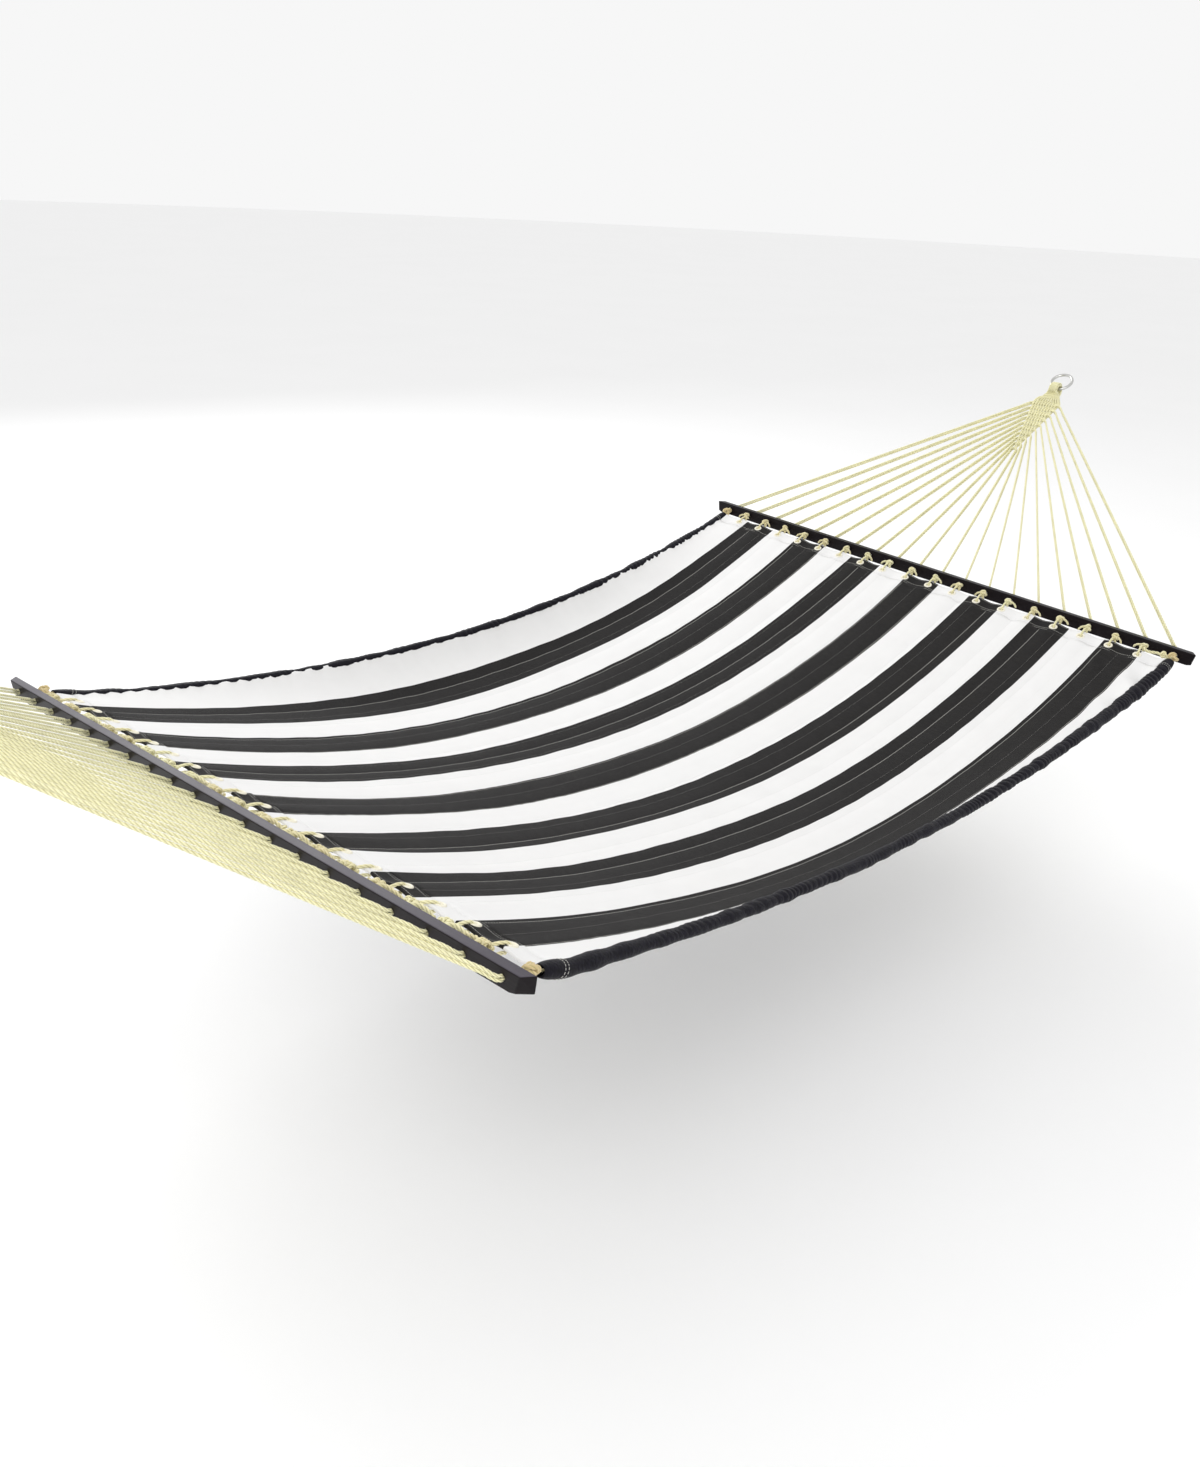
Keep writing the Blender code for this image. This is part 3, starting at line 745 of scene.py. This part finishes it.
def hem_points(end, x, y, side):
    """A point of the hem's upper or lower face, by its inset x from the bar's face and its y.

    The thickness falls to nothing at the hem's edges as a quarter circle, and the hem follows the relief.
    """
    from_edges = np.minimum(x - end.lacing_gap, end.lacing_gap + HEM_LENGTH - x)
    from_edges = np.minimum(from_edges, HEM_HALF_WIDTH - np.abs(y))
    share = np.clip(from_edges / HEM_HALF_THICKNESS, 0, 1)
    half = HEM_HALF_THICKNESS * np.sqrt(1 - (1 - share) ** 2)
    inward = x - end.lacing_gap
    scallop = 0.0010 * (0.5 - 0.5 * np.cos(2 * math.pi * (y / HOLE_PITCH + 0.5)))
    moved = x + scallop * (1 - inward / HEM_LENGTH)
    distance = HEM_LENGTH - inward
    place = -distance if end.name == "foot" else BED_LENGTH + distance
    return end.in_hem(moved, y, side * half + relief(place, y))


def make_hem(end, material):
    """The hem: a cell round each eyelet, from the eyelet's circle out to the cell's outline."""
    gap, half_cell = end.lacing_gap, HOLE_PITCH / 2
    xs = gap + HEM_LENGTH * (0.5 - 0.5 * np.cos(np.linspace(0, math.pi, 13)))
    ys = np.linspace(-half_cell, half_cell, 15)
    sides = [
        stack(xs[:-1], -half_cell),
        stack(xs[-1], ys[:-1]),
        stack(xs[:0:-1], half_cell),
        stack(xs[0], ys[:0:-1]),
    ]
    outline = np.concatenate(sides)
    centre_x = gap + EYELET_INSET
    angle = np.arctan2(outline[:, 1], outline[:, 0] - centre_x)
    circle = stack(centre_x + EYELET_RADIUS * np.cos(angle), EYELET_RADIUS * np.sin(angle))
    share = np.array([0.0, 0.10, 0.25, 0.45, 0.70, 0.88, 0.95, 1.0])[:, None, None]
    cell = circle + share * (outline - circle)
    shape = Shape()
    for index in range(1, HOLE_COUNT - 1):
        x, y = cell[..., 0], cell[..., 1] + hole_y(index)
        for side in (1, -1):
            face = hem_points(end, x, y, side)
            shape.grid(face, around=True, flip=side * end.outward < 0, across=y, inset=x - gap)
        rims = np.stack([hem_points(end, x[0], y[0], side) for side in (1, -1)])
        shape.grid(rims, around=True, flip=end.outward > 0, across=y[:1], inset=x[:1] - gap)
    outer_ys = np.linspace(OUTER_HOLE_Y - half_cell, HEM_HALF_WIDTH, 9)
    for corner in (1, -1):
        x, y = np.meshgrid(xs, corner * outer_ys, indexing="ij")
        for side in (1, -1):
            face = hem_points(end, x, y, side)
            shape.grid(face, flip=corner * side * end.outward < 0, across=y, inset=x - gap)
    name = f"stitched_hem_{end.name}"
    mesh = shape.mesh(name, weld=0.00001)
    return add_piece(name, mesh, material, [f"hem_band_{end.name}"])


def make_grommets(end, material):
    """A ring in each eyelet: an ellipse swept round a circle."""
    turn_angle, section = full_turn(28)[:, None], full_turn(12)
    radius = GROMMET_RADIUS + GROMMET_HALF_WIDTH * np.cos(section)
    height = GROMMET_HALF_HEIGHT * np.sin(section)
    middle = -HEM_LENGTH if end.name == "foot" else BED_LENGTH + HEM_LENGTH
    shape = Shape()
    for index in range(1, HOLE_COUNT - 1):
        x = end.lacing_gap + EYELET_INSET + radius * np.cos(turn_angle)
        y = hole_y(index) + radius * np.sin(turn_angle)
        lift = relief(np.array(middle), np.array(hole_y(index)))
        shape.grid(end.in_hem(x, y, height + lift), around=True, closed=True)
    name = f"hem_grommets_{end.name}"
    return add_piece(name, shape.mesh(name, outwards=True), material)


# Edge sleeves


def sleeve_route(side):
    """The sleeve's centre line: just outside the cloth's edge, with its ends at the bars' end knots.

    The far one hangs a little lower, by one less the sixth power of the place along it.
    """
    along = np.linspace(-0.985, 0.985, 41)
    y = np.full_like(along, side * HEM_HALF_WIDTH)
    edge = bed_surface(along, y)
    outward = unit(edge - bed_surface(along, 0.995 * y))
    lead = END_KNOT_REACH + 0.004
    first = FOOT.in_hem(lead + KNOT_SLIDE["foot"], side * OUTER_HOLE_Y, 0)
    last = HEAD.in_hem(lead + KNOT_SLIDE["head"], side * OUTER_HOLE_Y, 0)
    line = edge + outward * (SLEEVE_RADIUS + SHAPE_GAP)
    if side > 0:
        line[:, 2] -= FAR_SLEEVE_DROP * (1 - along**6)
    return np.concatenate([[first], line, [last]])


def sleeve_body(along, length, side):
    """The sleeve's mean radius, fuller towards both ends, and the share of it that its mouths keep."""
    from_foot, from_head = along, length - along
    fuller = 0.0026 * np.exp(-from_foot / 0.16) + 0.0042 * np.exp(-((from_head / 0.55) ** 2))
    body = 0.0080 + SLEEVE_FULLNESS[side] * (0.0018 + fuller)
    mouth = 1 - 0.28 * np.exp(-from_foot / 0.010) - 0.35 * np.exp(-from_head / 0.020)
    return body, mouth


def sleeve_radius(along, length, angle, side):
    """Radius of the gathered sleeve.

    It is the mean radius times slow lumps and a flattening, plus close folds: the power 0.8 of a sine's
    size, skewed round the sleeve, deeper towards the head end and faint at the mouths.
    """
    seed = SLEEVE_SEED + side
    from_foot, from_head = along, length - along
    body, mouth = sleeve_body(along, length, side)
    slow = ripple(along, 0.01 * np.cos(angle), seed, length=0.09)
    quick = ripple(along, 0.01 * np.cos(angle), seed + 1, length=0.04)
    lumps = 1 + 0.12 * slow + 0.05 * quick
    skew = 1.1 * np.sin(angle + 7 * along) + 2.4 * ripple(along, 0 * angle, seed + 2, length=0.13)
    folds = np.abs(np.sin(math.pi * along / 0.0150 + skew)) ** 0.8
    deep = 0.0006 + 0.0015 * (along / length) ** 2
    deep = deep * (1 + 0.7 * ripple(along, 0.012 * np.sin(angle), seed + 3, length=0.07))
    flat = 1 - 0.10 * np.cos(2 * angle)
    fade = np.clip(np.minimum(from_foot - 0.045, from_head - 0.030) / 0.03, 0.15, 1)
    return body * mouth * lumps * flat + fade * deep * (folds - 0.6)


def make_sleeve(side, label, material):
    """The gathered tube of cloth along an edge, turned in at both mouths to a plainer inner wall."""
    path = smooth_path(sleeve_route(side), spacing=0.0020)
    along = distance_along(path)
    length = along[-1]
    radius = sleeve_radius(along[:, None], length, full_turn(SLEEVE_SIDES), side)
    outer = tube(path, radius, SLEEVE_SIDES, (0, 0, 1))
    body, mouth = sleeve_body(along[::-6, None], length, side)
    inner = tube(path[::-6], body * mouth - SLEEVE_WALL, SLEEVE_SIDES, (0, 0, -1))
    facing_outer = np.roll(inner[:, ::-1], SLEEVE_SIDES // 2 + 1, 1)
    shape = Shape()
    shape.grid(np.concatenate([outer, facing_outer]), around=True, closed=True)
    name = f"gathered_sleeve_{label}"
    mesh = shape.mesh(name, outwards=True)
    return add_piece(name, mesh, material, [f"edge_sleeve_{label}"])


def read_along(at, along, values):
    """Values at given distances along a path, by straight lines between its points."""
    return np.stack([np.interp(at, along, column) for column in values.T], -1)


def make_sleeve_stitching(side, label, material):
    """Two slanted rings of short stitches round each mouth of a sleeve."""
    path = smooth_path(sleeve_route(side), spacing=0.0020)
    slopes = np.gradient(path, axis=0)
    along = distance_along(path)
    length = along[-1]
    upward = np.array([0.0, 0.0, 1.0])
    shape = Shape()
    for row in (*STITCH_ROWS, *(length - row for row in STITCH_ROWS)):
        for stitch in range(STITCH_COUNT):
            angle = 2 * math.pi * (stitch + np.linspace(0, 0.62, 6)) / STITCH_COUNT
            at = row + 0.006 * np.cos(angle)
            radius = sleeve_radius(at, length, angle, side) + SHAPE_GAP
            tangent = unit(read_along(at, along, slopes))
            normal = unit(upward - (tangent @ upward)[:, None] * tangent)
            beside = np.cross(tangent, normal)
            around = np.cos(angle)[:, None] * normal + np.sin(angle)[:, None] * beside
            line = read_along(at, along, path) + radius[:, None] * around
            shape.grid(tube(line, THREAD_RADIUS, 6, tangent), around=True, caps=True)
    name = f"sleeve_stitching_{label}"
    return add_piece(name, shape.mesh(name), material)


# Rings


def make_ring(end, material):
    """A round ring in the clew's plane, with a low weld bead away from the rope."""
    turn_angle, section = full_turn(96)[:, None], full_turn(20)
    bead = 0.0004 * np.exp(-(((turn_angle - 0.9) / 0.05) ** 2))
    thick = RING_WIRE / 2 + bead
    radius = RING_RADIUS + thick * np.cos(section)
    x = RING_RADIUS + radius * np.cos(turn_angle)
    y = radius * np.sin(turn_angle)
    shape = Shape()
    shape.grid(end.in_clew(x, y, thick * np.sin(section)), around=True, closed=True)
    name = f"steel_ring_{end.name}"
    mesh = shape.mesh(name, outwards=True)
    add_piece(name, mesh, material, [f"hanging_ring_{end.name}"], f"{end.name}_ring")


# Finishes


class Finish:
    """A material's nodes, with short ways to add and join them."""

    def __init__(self, name, roughness, **constants):
        self.material = bpy.data.materials.new(name)
        self.material.use_nodes = True
        self.tree = self.material.node_tree
        self.shader = self.tree.nodes["Principled BSDF"]
        self.shader.inputs["Roughness"].default_value = roughness
        for socket, value in constants.items():
            self.shader.inputs[socket.replace("_", " ")].default_value = value

    def put(self, socket, source):
        """Joins another node's output to a socket, or sets the socket's own value."""
        if isinstance(source, bpy.types.NodeSocket):
            self.tree.links.new(source, socket)
        else:
            socket.default_value = source

    def add(self, kind, inputs=(), output=0, **settings):
        """A new node's output. inputs pairs sockets, by name or number, with values or other outputs."""
        node = self.tree.nodes.new(kind)
        for setting, value in settings.items():
            setattr(node, setting, value)
        for socket, source in dict(inputs).items():
            self.put(node.inputs[socket], source)
        return node.outputs[output]

    def math(self, operation, first, second=0.0):
        """A sum, product or other operation on one or two numbers."""
        return self.add("ShaderNodeMath", {0: first, 1: second}, operation=operation)

    def mix(self, share, first, second):
        """The first colour, with a share of the second in its place."""
        return self.add("ShaderNodeMix", {0: share, 6: first, 7: second}, output=2, data_type="RGBA")

    def shades(self, share, colour, low, high):
        """A colour that goes from one strength of itself to another."""
        return self.mix(share, rgba(colour, low), rgba(colour, high))

    def value(self, name):
        """The piece's own value of this name at each point."""
        return self.add("ShaderNodeAttribute", output=2, attribute_name=name)

    def noise(self, scale, detail, stretch=None):
        """Noise in the object's coordinates, drawn out along each axis whose stretch is below 1."""
        vector = self.add("ShaderNodeTexCoord", output=3)
        if stretch:
            vector = self.add("ShaderNodeMapping", {"Vector": vector, "Scale": stretch})
        return self.add("ShaderNodeTexNoise", {"Vector": vector, "Scale": scale, "Detail": detail})

    def remap(self, value, low, high, to_low=0.0, to_high=1.0):
        """The value on a new scale, kept within it."""
        inputs = {0: value, 1: low, 2: high, 3: to_low, 4: to_high}
        return self.add("ShaderNodeMapRange", inputs)

    def bump(self, height, distance, strength, under=None):
        """A surface that rises and falls with the height, on top of another such surface if given."""
        inputs = {"Height": height, "Distance": distance, "Strength": strength}
        if under:
            inputs["Normal"] = under
        return self.add("ShaderNodeBump", inputs)

    def finish(self, colour, normal=None, roughness=None):
        """Joins the colour, bump and roughness to the shader, and gives the material."""
        self.put(self.shader.inputs["Base Color"], colour)
        if normal:
            self.put(self.shader.inputs["Normal"], normal)
        if roughness:
            self.put(self.shader.inputs["Roughness"], roughness)
        return self.material


def rgba(colour, scale=1.0):
    """A colour made darker or lighter, with full opacity."""
    return (*(min(1.0, part * scale) for part in colour), 1.0)


def wood_finish(name, top_highlight_strength):
    """Dark stain over straight grain that runs along the bar, with a painted highlight on the upper face
    as strong as the top highlight strength.
    """
    made = Finish(name, 0.34, Specular_IOR_Level=0.1, Coat_Weight=0.05, Coat_Roughness=0.2)
    grain = made.noise(260.0, 6.0, stretch=(1.0, 0.035, 1.0))
    pores = made.noise(900.0, 2.0, stretch=(1.0, 0.03, 1.0))
    # Wear noise, for the roughness and for patches in the painted highlight.
    wear = made.noise(9.0, 5.0)
    dark = made.shades(grain, colours().wood, 0.7, 1.7)
    normal = made.add("ShaderNodeTexCoord", output=1)
    upward = made.add("ShaderNodeSeparateXYZ", {0: normal}, output=2)
    top = made.remap(upward, 0.55, 0.98)
    # Painted highlight: the upper face is made paler, patchy by the wear noise.
    painted_top_highlight = made.math("MULTIPLY", top, made.remap(wear, 0.30, 0.72, 0.62 * top_highlight_strength, top_highlight_strength))
    colour = made.mix(painted_top_highlight, dark, made.shades(grain, colours().wood_top_highlight, 0.8, 1.15))
    height = made.math("ADD", grain, made.math("MULTIPLY", pores, 0.5))
    roughness = made.remap(wear, 0.3, 0.7, 0.28, 0.44)
    return made.finish(colour, made.bump(height, 0.0004, 0.5), roughness)


def rope_finish():
    """Cream strands with painted shade in the grooves between them, darker specks of fine twisted yarn
    and tanner knots.
    """
    made = Finish("laid_rope_finish", 0.82, Sheen_Weight=0.25, Sheen_Roughness=0.5)
    groove, tone = made.value("groove"), made.value("tone")
    yarn = made.noise(1500.0, 2.0)
    cloud = made.noise(38.0, 3.0)
    base = made.shades(made.remap(cloud, 0.35, 0.75), colours().rope, 1.0, 0.86)
    base = made.mix(tone, base, rgba(colours().rope_tan))
    # Darker specks of yarn, tinted from the groove shade colour.
    base = made.mix(made.remap(yarn, 0.42, 0.70, 0.0, 0.25), base, rgba(colours().rope_groove_shade_and_dark_yarn, 1.5))
    # Painted shade in the grooves between the strands.
    dark = made.math("MULTIPLY", made.math("POWER", groove, 2.2), 0.85)
    colour = made.mix(dark, base, rgba(colours().rope_groove_shade_and_dark_yarn))
    return made.finish(colour, made.bump(yarn, 0.0005, 0.7))


def woven_relief(made):
    """Height of a plain weave: the product of two sine waves, one along and one across the cloth."""
    radians_per_metre = 2 * math.pi / 0.0013
    along = made.math("SINE", made.math("MULTIPLY", made.value("inset"), radians_per_metre))
    across = made.math("SINE", made.math("MULTIPLY", made.value("across"), radians_per_metre))
    return made.math("MULTIPLY", along, across)


def stitches(made, distance, run, half_width, pitch):
    """1 on a line of stitches, by the distance from the line and the distance along it."""
    on_line = made.math("LESS_THAN", made.math("ABSOLUTE", distance), half_width)
    step = made.math("FRACT", made.math("DIVIDE", run, pitch))
    return made.math("MULTIPLY", on_line, made.math("LESS_THAN", step, 0.74))


def cloth_finish(name, in_hem):
    """Light and dark stripes of woven cloth with rows of stitching, along the quilting or a hem."""
    made = Finish(name, 0.75, Sheen_Weight=0.02, Sheen_Roughness=0.4, Specular_IOR_Level=0.15)
    pitch = sizes().stripe_pitch
    across, inset = made.value("across"), made.value("inset")
    wander = made.remap(made.noise(2.2, 2.0), 0.0, 1.0, -0.003 - STRIPE_SHIFT, 0.003 - STRIPE_SHIFT)
    place = made.math("ADD", made.math("DIVIDE", made.math("ADD", across, wander), pitch), 0.5)
    off_centre = made.math("ABSOLUTE", made.math("SUBTRACT", made.math("FRACT", place), 0.5))
    dark = made.math("LESS_THAN", off_centre, sizes().dark_stripe / 2 / pitch)
    cloud = made.noise(14.0, 4.0)
    slub = made.noise(420.0, 2.0, stretch=(1.0, 0.12, 1.0))
    white = made.shades(made.remap(cloud, 0.3, 0.8), colours().white_cloth, 1.0, 0.97)
    black = made.shades(made.remap(slub, 0.35, 0.7), colours().dark_cloth, 0.8, 1.35)
    colour = made.mix(dark, white, black)
    if in_hem:
        rows = [made.math("SUBTRACT", inset, row) for row in HEM_STITCH_ROWS]
        first, second, third = (stitches(made, row, across, 0.0006, 0.0045) for row in rows)
        sewn = made.math("MAXIMUM", made.math("MAXIMUM", first, second), third)
    else:
        sewn = stitches(made, made.value("seam"), inset, 0.0008, 0.0048)
    thread = made.mix(dark, rgba(colours().white_cloth, 0.93), rgba(colours().thread))
    colour = made.mix(sewn, colour, thread)
    height = made.math("ADD", woven_relief(made), made.math("MULTIPLY", sewn, 3.0))
    wrinkles = made.bump(made.noise(55.0, 4.0), 0.0016, 0.25)
    return made.finish(colour, made.bump(height, 0.00022, 0.6, wrinkles))


def sleeve_finish():
    """Near-black gathered cloth with painted shine and shade on its folds, lighter where the fold bump
    rises.
    """
    made = Finish("gathered_cloth_finish", 0.5, Sheen_Weight=0.01, Specular_IOR_Level=0.14)
    folds = made.noise(240.0, 5.0)
    weave = made.noise(1700.0, 2.0)
    # Painted shine and shade: the colour follows the same noise as the fold bump, lighter where it rises.
    colour = made.shades(made.remap(folds, 0.35, 0.7), colours().sleeve, 0.6, 1.9)
    return made.finish(colour, made.bump(weave, 0.0003, 0.6, made.bump(folds, 0.0018, 0.6)))


def thread_finish():
    """Pale sewing thread with its twist."""
    made = Finish("thread_finish", 0.6, Sheen_Weight=0.2)
    twist = made.noise(2600.0, 2.0)
    return made.finish(made.shades(twist, colours().thread, 1.0, 1.6), made.bump(twist, 0.0002, 0.6))


def grommet_finish():
    """Smooth cream moulding with faint scuffs."""
    made = Finish("grommet_finish", 0.35, Coat_Weight=0.1)
    scuffs = made.noise(600.0, 5.0)
    colour = made.shades(made.remap(scuffs, 0.45, 0.75), colours().grommet, 1.0, 0.82)
    return made.finish(colour, made.bump(scuffs, 0.0001, 0.4), made.remap(scuffs, 0.3, 0.8, 0.28, 0.5))


def steel_finish():
    """Zinc plating: fine spangle and brushed scratches."""
    made = Finish("zinc_finish", 0.3, Metallic=1.0)
    spangle = made.noise(330.0, 4.0)
    scratches = made.noise(1400.0, 3.0, stretch=(1.0, 1.0, 0.08))
    colour = made.shades(made.remap(spangle, 0.35, 0.7), colours().steel, 1.0, 0.78)
    height = made.math("ADD", scratches, made.math("MULTIPLY", spangle, 0.6))
    roughness = made.remap(spangle, 0.3, 0.75, 0.22, 0.42)
    return made.finish(colour, made.bump(height, 0.00012, 0.5), roughness)


def floor_finish():
    """Pale matt floor, very slightly uneven."""
    made = Finish("floor_finish", 0.8)
    return made.finish(made.shades(made.noise(1.3, 3.0), colours().floor, 0.985, 1.01))


# Stage


def set_pose(holder, place, right, up, back):
    """Puts an object at a place, with its own axes along the three given directions."""
    columns = np.column_stack([right, up, back, place])
    holder.matrix_world = Matrix([*columns.tolist(), [0.0, 0.0, 0.0, 1.0]])


def add_light(name, place, size, power):
    """A soft square light that shines from a place at the bed's middle."""
    lamp = bpy.data.lights.new(name, "AREA")
    lamp.size, lamp.energy = size, power
    back = unit(np.subtract(place, BED_MIDDLE))
    right = unit(np.cross([0.0, 0.0, 1.0], back))
    set_pose(add_holder(name, lamp), place, right, np.cross(back, right), back)


def add_camera():
    """The viewpoint: low at the foot end's near corner, looking down along the bed."""
    azimuth, tilt, roll = np.radians(CAMERA_ANGLES)
    forward = np.array(
        [math.sin(azimuth) * math.cos(tilt), math.cos(azimuth) * math.cos(tilt), -math.sin(tilt)]
    )
    level = np.array([math.cos(azimuth), -math.sin(azimuth), 0.0])
    above = np.cross(level, forward)
    right = math.cos(roll) * level + math.sin(roll) * above
    up = math.cos(roll) * above - math.sin(roll) * level
    camera = bpy.data.cameras.new("camera")
    camera.sensor_width = 36.0
    camera.lens = CAMERA_LENS
    holder = add_holder("camera", camera)
    set_pose(holder, CAMERA_PLACE, right, up, -forward)
    bpy.context.scene.camera = holder


def add_floor():
    """A round floor far wider than the hammock: rings of points at growing radii."""
    angle = full_turn(96)
    radius = np.array([0.001, 2.0, 6.0, 15.0, 40.0])[:, None]
    x = BED_MIDDLE[0] + radius * np.cos(angle)
    shape = Shape()
    shape.grid(stack(x, radius * np.sin(angle), -sizes().floor_drop), around=True, flip=True)
    floor = add_holder("floor", shape.mesh("floor"))
    floor.data.materials.append(floor_finish())


def add_sky():
    """Even white light from all round."""
    world = bpy.data.worlds.new("studio")
    world.use_nodes = True
    background = world.node_tree.nodes["Background"]
    background.inputs["Color"].default_value = (1.0, 1.0, 1.0, 1.0)
    background.inputs["Strength"].default_value = SKY_STRENGTH
    bpy.context.scene.world = world
    bpy.context.scene.view_settings.view_transform = "Standard"


# Operators


class HAMMOCK_OT_stage(Operator):
    """Set up the floor, the soft light and the camera"""

    bl_idname = "hammock.stage"
    bl_label = "Stage"

    def execute(self, context):
        add_camera()
        add_sky()
        add_floor()
        add_light("key_light", place=(-0.4, 4.6, 2.6), size=3.0, power=120.0)
        add_light("fill_light", place=(-5.5, -2.5, 3.2), size=3.0, power=100.0)
        return {"FINISHED"}


class HAMMOCK_OT_bars(Operator):
    """Stain the two spreader bars"""

    bl_idname = "hammock.bars"
    bl_label = "Spreader bars"

    def execute(self, context):
        # How strong the painted highlight on each bar's upper face is.
        for end, top_highlight_strength in ((HEAD, 0.12), (FOOT, 1.0)):
            finish = wood_finish(f"stained_wood_{end.name}", top_highlight_strength)
            bar = frame["nodes"][f"spreader_bar_{end.name}"]
            bar.data.materials.clear()
            bar.data.materials.append(finish)
        return {"FINISHED"}


class HAMMOCK_OT_rings(Operator):
    """Make the two hanging rings"""

    bl_idname = "hammock.rings"
    bl_label = "Hanging rings"

    def execute(self, context):
        finish = steel_finish()
        for end in (HEAD, FOOT):
            make_ring(end, finish)
        return {"FINISHED"}


class HAMMOCK_OT_ropes(Operator):
    """Make the forty doubled ropes with their knots and lacing, the woven clews and the edge ropes"""

    bl_idname = "hammock.ropes"
    bl_label = "Ropes and clews"

    def execute(self, context):
        finish = rope_finish()
        for end in (HEAD, FOOT):
            make_woven_clew(end, finish)
            for index in range(HOLE_COUNT):
                make_laid_rope(end, index, finish)
        for label, side in SIDES.items():
            make_edge_rope(side, label, finish)
        return {"FINISHED"}


class HAMMOCK_OT_bed(Operator):
    """Make the bed's two cloths, its hems and their grommets"""

    bl_idname = "hammock.bed"
    bl_label = "Bed"

    def execute(self, context):
        striped = cloth_finish("striped_cloth_finish", in_hem=False)
        hemmed = cloth_finish("hem_cloth_finish", in_hem=True)
        rings = grommet_finish()
        hems = [make_hem(end, hemmed) for end in (HEAD, FOOT)]
        grommets = [make_grommets(end, rings) for end in (HEAD, FOOT)]
        upper = make_bed_cloth(1, striped)
        lower = make_bed_cloth(-1, striped)
        return {"FINISHED"}


class HAMMOCK_OT_sleeves(Operator):
    """Make the gathered edge sleeves and the stitching round their mouths"""

    bl_idname = "hammock.sleeves"
    bl_label = "Edge sleeves"

    def execute(self, context):
        cloth, thread = sleeve_finish(), thread_finish()
        for label, side in SIDES.items():
            sleeve = make_sleeve(side, label, cloth)
            sewn_on = [make_sleeve_stitching(side, label, thread)]
        return {"FINISHED"}


PIECE_OPERATORS = (
    HAMMOCK_OT_stage,
    HAMMOCK_OT_bars,
    HAMMOCK_OT_rings,
    HAMMOCK_OT_ropes,
    HAMMOCK_OT_bed,
    HAMMOCK_OT_sleeves,
)


class HAMMOCK_PT_panel(Panel):
    """Lists the sizes, the colours and the pieces"""

    bl_label = "Striped Hammock"
    bl_idname = "HAMMOCK_PT_panel"
    bl_space_type = "VIEW_3D"
    bl_region_type = "UI"
    bl_category = "Hammock"

    def draw(self, context):
        column = self.layout.column()
        for group in (context.scene.hammock_sizes, context.scene.hammock_colours):
            for name in group.__annotations__:
                column.prop(group, name)
        for operator in PIECE_OPERATORS:
            column.operator(operator.bl_idname)


CLASSES = (HammockSizes, HammockColours, *PIECE_OPERATORS, HAMMOCK_PT_panel)


def register():
    for made in CLASSES:
        bpy.utils.register_class(made)
    bpy.types.Scene.hammock_sizes = PointerProperty(type=HammockSizes)
    bpy.types.Scene.hammock_colours = PointerProperty(type=HammockColours)


def unregister():
    del bpy.types.Scene.hammock_colours
    del bpy.types.Scene.hammock_sizes
    for made in reversed(CLASSES):
        bpy.utils.unregister_class(made)


def main():
    """Makes every piece in order."""
    register()
    bpy.ops.hammock.stage()
    bpy.ops.hammock.bars()
    bpy.ops.hammock.rings()
    bpy.ops.hammock.ropes()
    bpy.ops.hammock.bed()
    bpy.ops.hammock.sleeves()


if __name__ == "__main__":
    main()
